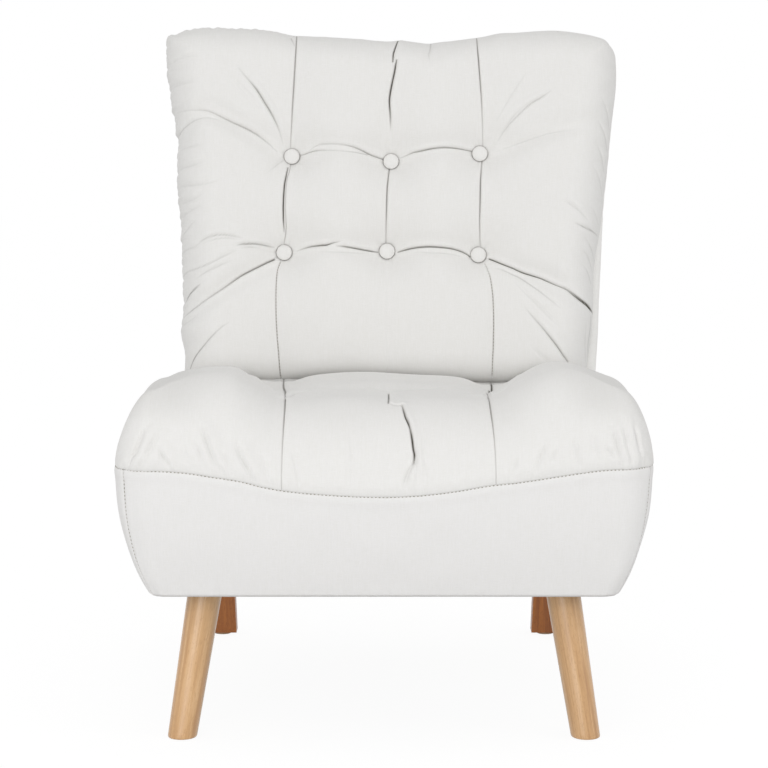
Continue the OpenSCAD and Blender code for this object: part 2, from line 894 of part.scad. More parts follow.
module dust_cover() {
    y1 = rear_y(post_n, leg_h);
    reach = rail_out_x - dust_edge;
    color("black") placed() translate([0, 0, frame_z - fit - dust_t]) linear_extrude(dust_t) difference() {
        union() {
            rounded(-reach, front_rail_y, reach, y1 - corner_r, corner_r);
            translate([-reach, y1 / 2]) square([2 * reach, y1 / 2]);
        }
        for (s = [-1, 1]) {
            translate([s * front_top[0], front_top[1]]) square(plate_w + overrun, center = true);
            translate([s * post_mid_x - plate_w / 2 - overrun, rear_plate_y0 - overrun])
                square([plate_w + 2 * overrun, through]);
        }
    }
}

// Height of the seat's crown before its edges roll down: side humps, sewn valleys
// between them, a crease across the tufts, and a fall towards the back
function seat_crown(x, y) =
    let (
        out = (abs(x) - channel_w / 2) / seat_hump_run,
        level = abs(x) < channel_w / 2
            ? valley_h + (seat_mid_h - valley_h) * pow(cos(180 * x / channel_w), swell_power)
            : valley_h + (hump_h - valley_h) * pow(sin(90 * min(1, out)), swell_power),
        fall_y = tuft_row_y + seat_fall_run - (seat_fall_run + hump_fall_lead) * ease(out / hump_fall_share),
        rear = ease((y - fall_y) / (seat_back_y - fall_y)),
        crease = tuft_row_depth * bell(y - tuft_row_y, crease_w)
            * (1 - ease((abs(x) - channel_w / 2) / seat_hump_run)),
        dimple = tuft_depth * max([for (t = [-1, 0, 1])
            bell(norm([x - t * channel_w / 2, y - tuft_row_y]), crease_w / 2)])
    )
    seam_z + level - (level - rest_z(seat_back_y) + seam_z) * rear - crease - dimple;

// Distance inside the front and side edges of the seat, round its corners
function seat_inside(x, y) =
    let (p = abs(x) - (seat_w / 2 - corner_r), q = corner_r - y)
    corner_r - (p > 0 && q > 0 ? norm([p, q]) : max(p, q));

// Height of the face that the back cushion rests on
function rest_z(y) =
    leg_h + (back_cushion_low - fit) * cos(back_rake)
    + (base_d + (back_cushion_low - fit) * sin(back_rake) - y) * tan(back_rake);

// Height of the seat's surface: the crown, with a roll round its edges that tightens
// to the shoulders beside the back
function seat_top(x, y) =
    let (
        shoulder = (seat_w - back_waist_w) / 2,
        tighten = ease((y - tuft_row_y) / (seat_back_y - tuft_row_y)),
        roll = seat_roll + (shoulder - seat_roll) * tighten,
        crown = y > seat_back_y ? rest_z(y) : seat_crown(x, y)
    )
    seam_at(x) + (crown - seam_at(x)) * roll_up(seat_inside(x, y), roll);

// Place on the seat's plan at shares of its width and depth, with round front corners
function seat_plan(u, v, z, inset) =
    let (
        half = half_at(z) - inset,
        y0 = front_at(z) + inset,
        x = u * half,
        y = y0 + v * (rear_y(shell_t + 2 * fit, z) - y0),
        r = corner_r - inset,
        p = abs(x) - (half - r),
        q = y0 + r - y,
        pull = p > 0 && q > 0 ? max(p, q) / norm([p, q]) : 1
    )
    pull == 1 ? [x, y] : [sign(x) * (half - r + p * pull), y0 + r - q * pull];

function seat_point(u, v) =
    let (
        flat = seat_plan(u, v, seam_z, 0),
        z = seat_top(flat[0], flat[1]),
        p = seat_plan(u, v, min(z, v < 1 ? seam_z : z), 0),
        q = seat_plan(u, v, z, 0)
    )
    v < 1 ? [p[0], p[1], z] : [p[0], q[1], z];

// Steps of the seat's surface, with lines on the channel seams and on the tufts
seam_share = channel_w / seat_w;
tuft_share = tuft_row_y / rear_y(shell_t + 2 * fit, seam_z);
seat_cols = concat(spread(0, seam_share, inner_col_shares), spread(seam_share, 1, outer_col_shares));
seat_us = concat([for (i = [len(seat_cols) - 1 : -1 : 1]) -seat_cols[i]], seat_cols);
seat_vs = concat(spread(0, tuft_share, front_row_shares), spread(tuft_share, 1, rear_row_shares));
seat_grid = [for (v = seat_vs) [for (u = seat_us) seat_point(u, v)]];

// Loop under the rim of the seat cushion, at the ends of the grid's rows and columns
function seat_loop(drop, inset) =
    let (rows = len(seat_vs), cols = len(seat_us))
    [for (k = rim_of(rows, cols))
        let (
            u = seat_us[k % cols],
            v = seat_vs[floor(k / cols)],
            top = seat_grid[floor(k / cols)][k % cols],
            z = drop ? cushion_z : min(top[2], seam_at(top[0])) - fit / 2,
            p = seat_plan(u, v, z, inset)
        )
        [p[0], v == 1 ? rear_y(shell_t + 2 * fit, z) : p[1], z]];

module seat_cushion() {
    color("ivory") placed() domed(seat_grid,
        [seat_loop(false, cover_t + fit), seat_loop(true, cover_t + fit)],
        [0, base_d / 2, cushion_z]);
}

// Half-width of the back along its length: it follows the base, draws in to a waist
// above the seat, and spreads towards its top corners
function back_half(w) =
    let (seam_w = wall_h / cos(back_rake), waist = back_waist_w / 2)
    w < seam_w ? half_at(leg_h + w * cos(back_rake))
    : w < waist_at ? waist + (seat_w / 2 - waist) * sqrt(1 - pow((w - seam_w) / (waist_at - seam_w), 2))
    : waist + (back_top_w / 2 - waist) * pow(min(1, (w - waist_at) / (spread_at - waist_at)), spread_power);

// Height of the top edge along the back: one wave, lowest in the middle
function top_at(x) = back_len - top_dip * (1 + cos(180 * min(1, abs(x) / top_rise_x))) / 2;

// Right half of the outline of the back above a length, drawn in by an inset. All
// outlines turn at the same places, so that sheets inside each other stay apart.
side_turns = 60;
top_turns = 16;
arc_steps = 5;
function right_outline(inset, low) =
    let (
        r = top_corner_r,
        cx = back_top_w / 2 - r,
        step = corner_low / side_turns
    )
    concat(
        [for (i = [ceil(low / step) : side_turns]) [back_half(step * i) - inset, step * i]],
        [for (i = [1 : arc_steps])
            [cx + (r - inset) * cos(90 * i / arc_steps), corner_low + (r - inset) * sin(90 * i / arc_steps)]],
        [for (i = [1 : top_turns]) let (x = cx * (1 - i / top_turns)) [x, top_at(x) - inset]]
    );

module back_outline(inset, low) {
    half = right_outline(inset, low);
    count = len(half);
    polygon(concat(half, [for (i = [count - 2 : -1 : 0]) [-half[i][0], half[i][1]]]));
}

module back_rear_cover() {
    color("ivory") placed() back_layer(0, cover_t) back_outline(0, 0);
}

module back_lining() {
    color("burlywood") placed() back_layer(cover_t + fit, lining_t) back_outline(cover_t + fit, lining_low);
}

// Edge strip of the back between its outline and the thickness of its cover
module edge_strip() {
    difference() {
        back_outline(0, strip_low);
        back_outline(cover_t, 0);
    }
}

module side_strip() {
    color("ivory") above(seam_z + fit)
        back_layer(cover_t + fit, shell_t - cover_t - fit) intersection() {
            edge_strip();
            square([through, corner_low]);
        }
}

module back_side_cover_right() {
    placed() side_strip();
}

module back_side_cover_left() {
    placed() left() side_strip();
}

module back_top_cover() {
    color("ivory") placed() back_layer(cover_t + fit, shell_t - cover_t - fit) intersection() {
        edge_strip();
        translate([-through / 2, corner_low + fit]) square([through, through]);
    }
}

// Foam round the back frame, inside the covers
module side_foam() {
    color("khaki") back_layer(post_n, pad_n - fit - post_n) intersection() {
        back_outline(cover_t + fit, back_cushion_low);
        translate([rail_in_x, back_cushion_low]) square([through, through]);
    }
}

module back_side_foam_right() {
    placed() side_foam();
}

module back_side_foam_left() {
    placed() left() side_foam();
}

module back_top_foam() {
    reach = rail_in_x - fit;
    color("khaki") placed() back_layer(post_n, pad_n - fit - post_n) intersection() {
        back_outline(cover_t + fit, back_cushion_low);
        translate([-reach, post_top_w + fit]) square([2 * reach, through]);
    }
}

// Places of the buttons: the seams between them lean a little, as they were sewn
function seam_x(k, w) =
    let (t = max(0, min(1, (w - lower_row) / row_pitch)))
    back_top_w / 2 * (lower_button_shares[k] + (upper_button_shares[k] - lower_button_shares[k]) * t);

module at_buttons() {
    for (w = rows_w, k = [0 : 2]) translate([seam_x(k, w), 0, w]) children();
}

module back_foam() {
    color("khaki") placed() difference() {
        back_layer(pad_n, shell_t - fit - pad_n) back_outline(cover_t + fit, back_cushion_low + fit);
        reclined() at_buttons() translate([0, -shell_t - overrun, 0]) rotate([-90, 0, 0])
            cylinder(d = twine_d + bolt_clear, h = shell_t);
    }
}

module back_webbing() {
    reach = rail_in_x - fit - webbing_edge;
    color("dimgray") placed() back_layer(post_front_n + fit, webbing_t)
        for (s = strap_shares) translate([-reach, lower_row + row_pitch * s - strap_w / 2])
            square([2 * reach, strap_w]);
}

module tuft_clasps() {
    color("gray") placed() reclined() at_buttons() {
        translate([0, -pad_n + fit, 0]) rotate([90, 0, 0]) translate([0, 0, -clasp_t])
            cylinder(d = clasp_d, h = clasp_t);
        translate([0, -pad_n + fit, 0]) rotate([90, 0, 0]) translate([0, 0, -clasp_t / 2])
            cylinder(d = twine_d, h = shell_t - pad_n + clasp_t / 2 - fit);
    }
}

// Fullness across the back between its sewn seams, from 0 on a seam to 1 between two
function fullness(x, w) =
    let (
        centre = ease((w - lower_row + button_d) / button_d),
        out = min(abs(x - seam_x(0, w)), abs(x - seam_x(2, w))),
        mid = abs(x - seam_x(1, w)) + (1 - centre) * back_swell_run
    )
    pow(sin(90 * min(1, min(out, mid) / back_swell_run)), swell_power);

// Pull of the buttons on the face, from 1 under a button to 0 beyond its dimple
function pull_at(x, w) = max([for (r = rows_w, k = [0 : 2])
    1 - ease((norm([x - seam_x(k, r), w - r]) - button_flat * sqrt(2)) / dimple_run)]);

// Distance inside the side and top edges of the back, round its corners
function back_inside(x, w) =
    let (p = abs(x) - back_half(w) + top_corner_r, q = w - top_at(x) + top_corner_r)
    top_corner_r - (p > 0 && q > 0 ? norm([p, q]) : max(p, q));

// Distance of the cushion's face from the rear face of the back
button_n = shell_t + back_cushion_t - back_valley - button_dimple;
function face_n(x, w) =
    let (
        free = shell_t + back_cushion_t - back_valley * (1 - fullness(x, w)),
        full = free + (button_n - free) * pull_at(x, w)
    )
    cushion_rim_n + (full - cushion_rim_n) * roll_up(back_inside(x, w), back_roll);

// Columns and rows of the cushion's face, with lines on both sides of every button
function face_xs(w, inset) =
    let (half = back_half(w) - inset, f = button_flat, a = seam_x(0, w), b = seam_x(1, w), c = seam_x(2, w))
    concat(spread(-half, a - f, edge_shares), [a - f, a, a + f], spread(a + f, b - f, between_shares),
        [b - f, b, b + f], spread(b + f, c - f, between_shares), [c - f, c, c + f],
        [for (i = [len(edge_shares) - 1 : -1 : 0]) half + (c + f - half) * edge_shares[i]]);

function face_ws(x, inset) =
    let (f = button_flat, a = rows_w[0], b = rows_w[1])
    concat(spread(back_cushion_low, a - f, low_shares), [a - f, a, a + f], spread(a + f, b - f, between_shares),
        [b - f, b, b + f], spread(b + f, top_at(x) - inset, high_shares));

// Place on the outline of the cushion, with round top corners
function face_plan(i, j, inset) =
    let (
        x0 = face_xs(rows_w[1], inset)[j],
        w = face_ws(x0, inset)[i],
        x = face_xs(w, inset)[j],
        r = top_corner_r - inset,
        half = back_half(w) - inset,
        top = top_at(x0) - inset,
        p = abs(x) - half + r,
        q = w - top + r,
        pull = p > 0 && q > 0 ? max(p, q) / norm([p, q]) : 1
    )
    pull == 1 ? [x, w] : [sign(x) * (half - r + p * pull), top - r + q * pull];

face_cols = len(face_xs(lower_row, 0));
face_rows = len(face_ws(0, 0));
face_grid = [for (i = [0 : face_rows - 1]) [for (j = [0 : face_cols - 1])
    let (p = face_plan(i, j, 0)) [p[0], -face_n(p[0], p[1]), p[1]]]];

function face_loop(n, inset) = [for (k = rim_of(face_rows, face_cols))
    let (p = face_plan(floor(k / face_cols), k % face_cols, inset)) [p[0], -n, p[1]]];

module back_cushion() {
    color("ivory") placed() reclined() domed(face_grid,
        [face_loop(shell_t + fit, rim_tuck)],
        [0, -shell_t - fit, lower_row]);
}

module back_buttons() {
    dome_r = (pow(button_d / 2, 2) + pow(button_dome, 2)) / (2 * button_dome);
    color("ivory") placed() reclined() at_buttons() translate([0, -button_n - fit, 0]) rotate([90, 0, 0]) {
        cylinder(d = button_d, h = button_rim);
        intersection() {
            translate([0, 0, button_rim + button_dome - dome_r]) sphere(dome_r);
            translate([0, 0, button_rim / 2]) cylinder(d = button_d, h = button_dome + button_rim);
        }
    }
}

front_leg_left();
front_leg_right();
rear_leg_left();
rear_leg_right();
leg_glides();
leg_plates();
plate_screws();
hanger_bolts();
front_rail();
rear_rail();
side_rail_left();
side_rail_right();
corner_blocks();
block_screws();
frame_dowels();
seat_springs();
spring_clips();
spring_felt();
seat_foam();
seat_cushion();
base_cover_front();
base_cover_left();
base_cover_right();
base_pad_front();
base_pad_left();
base_pad_right();
dust_cover();
back_post_left();
back_post_right();
post_bolts();
post_nuts();
back_top_rail();
back_lumbar_rail();
back_dowels();
back_webbing();
back_foam();
back_side_foam_left();
back_side_foam_right();
back_top_foam();
back_lining();
back_rear_cover();
back_side_cover_left();
back_side_cover_right();
back_top_cover();
back_cushion();
back_buttons();
tuft_clasps();
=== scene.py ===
"""The accent chair as it looks: its covers, seams, buttons and wood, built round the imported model.

Sizes are in millimetres of the chair, whose front seam lies on y 0, until a piece is made in metres."""

import bpy
import numpy as np
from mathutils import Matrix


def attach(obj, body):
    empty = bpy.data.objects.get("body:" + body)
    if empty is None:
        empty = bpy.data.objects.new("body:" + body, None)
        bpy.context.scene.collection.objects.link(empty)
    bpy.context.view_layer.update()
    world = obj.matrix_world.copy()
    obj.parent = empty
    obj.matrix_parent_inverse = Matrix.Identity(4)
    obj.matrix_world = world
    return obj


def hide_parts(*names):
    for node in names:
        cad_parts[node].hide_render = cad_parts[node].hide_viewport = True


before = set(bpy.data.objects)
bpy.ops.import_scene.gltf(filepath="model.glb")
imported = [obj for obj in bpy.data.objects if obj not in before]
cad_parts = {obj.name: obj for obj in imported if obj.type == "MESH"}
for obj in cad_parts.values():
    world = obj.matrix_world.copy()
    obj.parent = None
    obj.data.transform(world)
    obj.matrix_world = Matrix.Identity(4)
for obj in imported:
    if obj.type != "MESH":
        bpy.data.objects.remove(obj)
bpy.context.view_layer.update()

# Sizes of the chair in millimetres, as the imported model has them, apart from the side walls' radius,
# which is larger here so that the walls stand a little fuller
SEAT_W, LEG_H, WALL_H, SEAM_DIP, BASE_D = 656, 187, 157, 32, 600
SIDE_R, FRONT_R, CORNER_R, LOW_CORNER_R = 325, 620, 50, 22
HUMP_H, SEAT_MID_H, VALLEY_H, SEAT_ROLL = 104, 76, 58, 112
TUFT_Y, TUFT_CREASE = 240, 8
RAKE = np.radians(13)
BACK_LEN, SHELL_T, CUSHION_T, RIM_N, CUSHION_LOW = 694, 68, 97, 82, 178
BUTTON_D, BUTTON_N = 22, 127
SEAM_Z = LEG_H + WALL_H
MID_Y = (BASE_D + BACK_LEN * np.sin(RAKE)) / 2
SEAT_BACK_Y = BASE_D + CUSHION_LOW * np.sin(RAKE) - (SHELL_T + CUSHION_T) * np.cos(RAKE)

# Sizes that only the look needs: the hem hangs under the base, the front seam lies above the solids' seam,
# the covers and flat panels have a thickness, and the seat keeps a gap to the shell behind it
HEM_DROP, SEAM_LIFT, COVER_T, PANEL_T, SEAT_GAP = 1.8, 1.3, 2.6, 2.4, 0.6
REAR_ROLL, BACK_ROLL, UNDER_ROLL, UNDER_DEPTH = 34, 58, 38, 32
SEAT_UNDER_Z = 306.6


def ease(t):
    """Smooth step from 0 to 1 while t goes from 0 to 1."""
    return (1 - np.cos(np.pi * np.clip(t, 0, 1))) / 2


def bell(d, width):
    """Bell that is 1 at 0 and fades over a width."""
    return np.exp(-((d / width) ** 2))


def roll_up(d, roll):
    """Quarter ellipse from 0 at an edge to 1 at the end of its roll."""
    return np.sqrt(np.clip(1 - (1 - np.clip(d, 0, roll) / roll) ** 2, 0, 1))


def curve(points):
    """Smooth curve through points (t, value): a cubic between each two, with mean slopes."""
    t, v = np.array(points, float).T
    m = np.gradient(v, t)

    def at(q):
        """Value at q, which is held between the ends of the curve."""
        q = np.clip(q, t[0], t[-1])
        i = np.clip(np.searchsorted(t, q, side="right") - 1, 0, len(t) - 2)
        h = t[i + 1] - t[i]
        s = (q - t[i]) / h
        return (v[i] * (1 + 2 * s) * (1 - s) ** 2 + v[i + 1] * s * s * (3 - 2 * s)
                + h * s * (1 - s) * (m[i] * (1 - s) - m[i + 1] * s))

    return at


def ripple(t, seed, waves):
    """Uneven wave along a length: sines of given wave lengths with seeded phases, from -1 to 1."""
    phases = np.random.default_rng(seed).uniform(0, 2 * np.pi, len(waves))
    return sum(np.sin(2 * np.pi * t / w + p) for w, p in zip(waves, phases)) / len(waves)


def spaced(lo, hi, count, closeness):
    """Count + 1 places from lo to hi, closer together where closeness(place) is larger."""
    p = np.linspace(lo, hi, 6001)
    c = closeness(p)
    total = np.concatenate([[0], np.cumsum((c[1:] + c[:-1]) / 2)])
    return np.interp(np.linspace(0, total[-1], count + 1), total, p)


def near_line(x, y, points, steps=4):
    """Signed distance from a smooth line through points, left side positive, and the share of its length."""
    pts = np.array(points, float)
    if len(pts) > 2:
        k = np.arange(len(pts))
        q = np.linspace(0, len(pts) - 1, (len(pts) - 1) * steps + 1)
        pts = np.stack([curve(np.stack([k, pts[:, a]], 1))(q) for a in (0, 1)], 1)
    best = np.full(x.shape, 1e9)
    side, share = np.ones(x.shape), np.zeros(x.shape)
    lens = np.hypot(*np.diff(pts, axis=0).T)
    run, total = 0, lens.sum()
    for (x0, y0), (x1, y1), n in zip(pts[:-1], pts[1:], lens):
        dx, dy = (x1 - x0) / n, (y1 - y0) / n
        t = np.clip((x - x0) * dx + (y - y0) * dy, 0, n)
        ex, ey = x - x0 - dx * t, y - y0 - dy * t
        d = np.hypot(ex, ey)
        near = d < best
        best = np.where(near, d, best)
        side = np.where(near, np.sign(dx * ey - dy * ex + 1e-12), side)
        share = np.where(near, (run + t) / total, share)
        run += n
    return best * side, share


def fold(x, y, points, depth, width, lip, painted_shade, strengths):
    """Sewn or pulled fold: a narrow slit along a smooth line, with a soft lip on its left side, whose
    strengths at even steps along its length let it fade and deepen. Returns the change of height and the
    shade painted into its slit at each place, from 0 to 1."""
    rise, dark = np.zeros(x.shape), np.zeros(x.shape)
    ends = np.array(points, float)
    lo, hi = ends.min(0) - 10 * width, ends.max(0) + 10 * width
    near = (x > lo[0]) & (x < hi[0]) & (y > lo[1]) & (y < hi[1])
    d, share = near_line(x[near], y[near], points)
    strong = np.interp(share, np.linspace(0, 1, len(strengths)), strengths)
    rise[near] = (lip * bell(d - 3.2 * width, 2.6 * width) - depth * bell(d, width)) * strong
    # painted shade along the slit
    dark[near] = np.minimum(1.2 * painted_shade * strong, 1) * bell(d, np.clip(0.6 * width, 0.62, 0.9))
    return rise, dark


# Base and seat
def half_at(z):
    """Half-width of the base at a height: an arc that stands upright at the seam."""
    return SEAT_W / 2 - SIDE_R + np.sqrt(SIDE_R**2 - (SEAM_Z - np.minimum(z, SEAM_Z)) ** 2)


def front_at(z):
    """How far the front lies behind its seam at a height: a flatter arc."""
    return FRONT_R - np.sqrt(FRONT_R**2 - (SEAM_Z - np.minimum(z, SEAM_Z)) ** 2)


def rear_y(n, z):
    """Place of a plane that lies n inside the raked rear face, at a height."""
    return BASE_D + (z - LEG_H) * np.tan(RAKE) - n / np.cos(RAKE)


SEAM_WAVE = curve([
    (-311, 0.01), (-265, 0.02), (-236, 0.09), (-205, 0.24), (-173, 0.4), (-142, 0.64), (-110, 0.8),
    (-79, 0.89), (-31, 0.98),
    (0, 1), (31, 0.97), (63, 0.88), (95, 0.74), (126, 0.57), (158, 0.46), (205, 0.24), (236, 0.09),
    (264, -0.02), (311, -0.06)])


def seam_at(x):
    """Height of the front seam across the seat: a wave that is lowest in the middle, through measured shares
    of its dip."""
    return SEAM_Z + SEAM_LIFT - SEAM_DIP * SEAM_WAVE(x)


def rest_z(y):
    """Height of the plane that the back cushion rests on."""
    low = CUSHION_LOW - 0.3
    return LEG_H + low * np.cos(RAKE) + (BASE_D + low * np.sin(RAKE) - y) * np.tan(RAKE)


def sag(x):
    """How far the seat and the back cushion's underside drop where they meet, at the right channel."""
    return 6 * bell(x - 150, 32)


SEAT_SEAMS = [
    curve([(0, -123), (60, -121.5), (120, -123), (180, -125.5), (250, -128), (350, -134), (450, -139),
           (560, -141)]),
    curve([(0, 38), (12, 37), (27, 32.7), (50, 28), (66, 24.5), (80, 22.2), (110, 10), (250, 6.5),
           (560, 6)]),
    curve([(0, 134.5), (60, 131), (120, 130), (180, 131), (250, 136), (350, 143), (450, 149), (560, 151)]),
]
TUFTS = [(-127, TUFT_Y, 3.5), (6.5, TUFT_Y, 8), (134, TUFT_Y, 3.5)]


def seat_crown(x, y):
    """Height of the crown: side humps, sewn valleys between them, a crease across the tufts,
    a dimple at each tuft and a fall towards the back. The valleys are slits in front of the tufts
    and open out behind them."""
    left, right = SEAT_SEAMS[0](y), SEAT_SEAMS[2](y)
    slit_end, opens_over, slit_rise = 215, 90, 13
    fore = 1 - ease((y - slit_end) / opens_over)
    valley = VALLEY_H + slit_rise * fore
    # the middle panel is an arch between the side seams, a little hollow behind the tufts
    middle = (x > left) & (x < right)
    arch = np.sin(np.pi * np.clip((x - left) / (right - left), 0, 1))
    panel = valley + (SEAT_MID_H - valley) * arch ** (0.5 - 0.15 * fore)
    hollow, hollow_right, hollow_from, hollow_over = 5, 4, 250, 110
    hollow = hollow + hollow_right * ease((x + 30) / 90)
    panel = panel - hollow * arch ** 0.5 * ease((y - hollow_from) / hollow_over)
    # each hump is a quarter wave out from its seam, which starts further out behind the tufts
    gap = np.where(x < left, left - x, x - right)
    foot, slope, slope_less = 25, 86, 36
    out = np.clip((gap - foot * (1 - fore)) / (slope - slope_less * (1 - fore)), 0, 1)
    more_left, more_right = 2, 9
    peak = HUMP_H + np.where(x > 0, more_right, more_left)
    hump = valley + (peak - valley) * np.sin(np.pi / 2 * out) ** (0.6 + 0.9 * fore)
    level = np.where(middle, panel, hump)
    # the fall to the plane under the back cushion starts further forward on the humps
    fall_from, fall_sooner, fall_sooner_out = 420, 170, 100
    sooner = fall_sooner * ease(gap / foot) + fall_sooner_out * ease(out / 0.6)
    start = fall_from - np.where(middle, 0, sooner)
    rear = ease((y - start) / (SEAT_BACK_Y - start))
    fall = (level - rest_z(SEAT_BACK_Y) + SEAM_Z) * rear
    crease_wide, crease_half, crease_fade = 26, 130, 86
    crease = TUFT_CREASE * bell(y - TUFT_Y, crease_wide) * (1 - ease((np.abs(x) - crease_half) / crease_fade))
    across, before, behind = 14, 50, 20
    dimples = [deep * bell(x - tx, across) * bell(y - ty, np.where(y < ty, before, behind))
               for tx, ty, deep in TUFTS]
    dimple = np.max(dimples, axis=0) + 4 * bell(x - 22, 42) * bell(y - TUFT_Y, 45)
    # the side seams draw the cloth down behind the tufts, the right one more
    draw, draw_from, draw_over = 8, 290, 130
    sewn = draw * (bell(x - left, 26) + 1.9 * bell(x - right, 28)) * ease((y - draw_from) / draw_over)
    sewn = sewn * (1 - np.where(x < 0, 0.6, 0.5) * rear)
    return SEAM_Z + level - fall - crease - dimple - sewn


def seat_inside(x, y):
    """Distance inside the front and side edges of the seat, round its corners."""
    p, q = np.abs(x) - (SEAT_W / 2 - CORNER_R), CORNER_R - y
    return CORNER_R - np.where((p > 0) & (q > 0), np.hypot(p, q), np.maximum(p, q))


# swells and hollows of the humps towards their outer sides: place across, width, height
HUMP_SWELLS = [(-292, 26, 12), (-330, 14, -14), (306, 21, 16), (-277, 12, -5), (-186, 16, 3.5)]


def seat_top(x, y):
    """Height of the seat: the crown, with a roll round its edges that tightens towards the back."""
    tighten = ease((y - TUFT_Y) / (SEAT_BACK_Y - TUFT_Y))
    roll = SEAT_ROLL + (REAR_ROLL - SEAT_ROLL) * tighten
    crown = np.where(y > SEAT_BACK_Y, rest_z(y) - sag(x), seat_crown(x, y))
    swell = sum(height * bell(x - place, width) for place, width, height in HUMP_SWELLS)
    crown = crown + swell * (1 - tighten)
    return seam_at(x) + (crown - seam_at(x)) * roll_up(seat_inside(x, y), roll)


def even(rise, roll):
    """Closeness that keeps steps even along a roll: the length of its curve over each step."""
    def at(d):
        """Length of the ellipse per step at a distance in from the edge: root of 1 plus its slope squared."""
        k = np.clip(d / roll, 0.0004, 1)
        return np.sqrt(1 + (rise / roll * (1 - k) / np.sqrt(1 - (1 - k) ** 2)) ** 2)

    return at


def close_to(p, places, fine, reach):
    """Extra closeness near given places, fading over a reach."""
    return sum(fine * np.exp(-np.abs(p - q) / reach) for q in places)


def seat_grid(cols, rows):
    """Plan of the seat: columns follow the three seams, rows follow the row of tufts."""
    half, rise = SEAT_W / 2, 100
    roll = even(rise, SEAT_ROLL)
    # the edges and seams as if they ran straight to the rear, and then as they run
    stops = [-half, -126, 15, 133, half]
    across = spaced(-half, half, cols,
                    lambda p: 1.2 * roll(half - np.abs(p)) / 2 + close_to(p, stops[1:4], 3.0, 5))
    depth = rear_y(SHELL_T + SEAT_GAP, SEAM_Z)
    y = spaced(0, depth, rows, lambda p: roll(p) + close_to(p, [TUFT_Y], 2.0, 8) + 0.3)
    x = np.tile(across, (rows + 1, 1))
    y = np.tile(y[:, None], (1, cols + 1))
    where = [-half + 0 * y] + [seam(y) for seam in SEAT_SEAMS] + [half + 0 * y]
    out = np.empty_like(x)
    for k in range(4):
        inside = (x >= stops[k]) & (x <= stops[k + 1])
        t = (x - stops[k]) / (stops[k + 1] - stops[k])
        out = np.where(inside, where[k] + (where[k + 1] - where[k]) * t, out)
    return out, y


def seat_points(x, y):
    """Points of the seat over its plan: the rim follows the base's wall, with round front corners."""
    half = SEAT_W / 2
    p, q = np.abs(x) - (half - CORNER_R), CORNER_R - y
    pull = np.where((p > 0) & (q > 0), np.maximum(p, q) / np.maximum(np.hypot(p, q), 1e-9), 1)
    corner = pull < 1
    px = np.where(corner, np.sign(x) * (half - CORNER_R + p * pull), x)
    py = np.where(corner, CORNER_R - q * pull, y)
    return px, py, seat_top(px, py)


# Back
def back_to_chair(x, w, n):
    """Turns places of the raked back into places of the chair: w along it, n out from its rear face."""
    y, z = BASE_D + w * np.sin(RAKE) - n * np.cos(RAKE), LEG_H + w * np.cos(RAKE) + n * np.sin(RAKE)
    return np.stack([x, y, z], -1)


LEFT_EDGE = curve([
    (170, -282), (217, -283.7), (234, -286), (252, -290.5), (269, -288.8), (290, -287), (321, -288.2),
    (355, -289.5),
    (390, -291), (425, -293), (450, -296.5), (477, -297.6), (512, -297.6), (529, -296.6), (540, -299),
    (564, -302.3),
    (582, -306.8), (599, -308.4), (617, -311.5), (640, -314.4), (670, -315), (700, -316)])
RIGHT_EDGE = curve([
    (170, 287), (207, 290), (261, 297.5), (283, 299), (350, 301.5), (373, 304.5), (395, 309),
    (425, 313.5), (459, 317),
    (503, 323), (539, 326), (575, 331), (620, 336), (662, 335), (700, 333)])
TOP_EDGE = curve([
    (-330, 680), (-309, 685.5), (-298, 688.5), (-285, 693), (-253, 697), (-215, 696), (-184, 695),
    (-161, 692.3), (-130, 686),
    (-103, 684.5), (-69, 682.6), (-34, 680.3), (11, 677.5), (23, 679), (36, 677.4), (50, 675),
    (62, 673.8), (80, 675.5),
    (100, 678), (138, 683.4), (172, 689.6), (190, 690), (218, 692), (241, 693), (275, 690), (298, 686),
    (321, 679), (345, 668)])
BACK_SEAMS = [
    curve([(170, -145), (214, -147.6), (263, -151.3), (321, -151.6), (349, -146.7), (362, -141.6),
           (390, -141), (434, -141.5),
           (469, -138.5), (490, -133.5), (501, -131.2), (514, -133.2), (543, -131.1), (578, -129.1),
           (614, -127), (655, -125.1),
           (700, -125.5)]),
    curve([(170, 3), (364, 4.3), (400, 3.1), (450, 4.5), (484, 7.6), (494, 10.1), (552, 9.2),
           (578, 7.8), (592, 9.7),
           (621, 15.6), (635, 15), (646, 13.5), (660, 17.2), (683, 22.4), (700, 24)]),
    curve([(170, 152), (228, 153.4), (277, 154), (314, 151.5), (337, 146.5), (359, 133.9), (386, 135.7),
           (434, 136),
           (461, 136.7), (494, 139.8), (505, 136.6), (516, 140.3), (576, 139.1), (631, 135.1),
           (665, 131.7), (700, 129)]),
]
ROWS = [
    curve([(-330, 245), (-278, 275), (-245, 294), (-213, 316), (-183, 333), (-157, 350), (-141.6, 361),
           (-125, 364), (-103, 369),
           (-80, 370.3), (-56, 367.7), (-31, 365), (4.3, 363), (20, 363), (41, 366.8), (65, 367.8),
           (95, 366), (116, 360.4),
           (134, 357.5), (150, 353), (168, 344), (195, 331.4), (221, 322.3), (256, 307), (276, 293),
           (294, 280), (345, 250)]),
    curve([(-330, 520), (-300, 528), (-282, 540), (-267, 555), (-251, 560), (-224, 552.5), (-193, 534),
           (-159, 515),
           (-131, 500), (-114, 503.5), (-94, 508), (-66, 511), (-40, 507), (-20, 501), (10, 494),
           (23, 498.5), (41, 504),
           (65, 508), (94, 510.5), (125, 508), (137, 504), (164, 509), (186, 515), (223, 530),
           (270, 542), (345, 552)]),
]
BUTTONS = [(-141.6, 362.7), (4.3, 364.6), (133.9, 359.4), (-131.2, 501.2), (10.1, 494), (136.6, 505.3)]


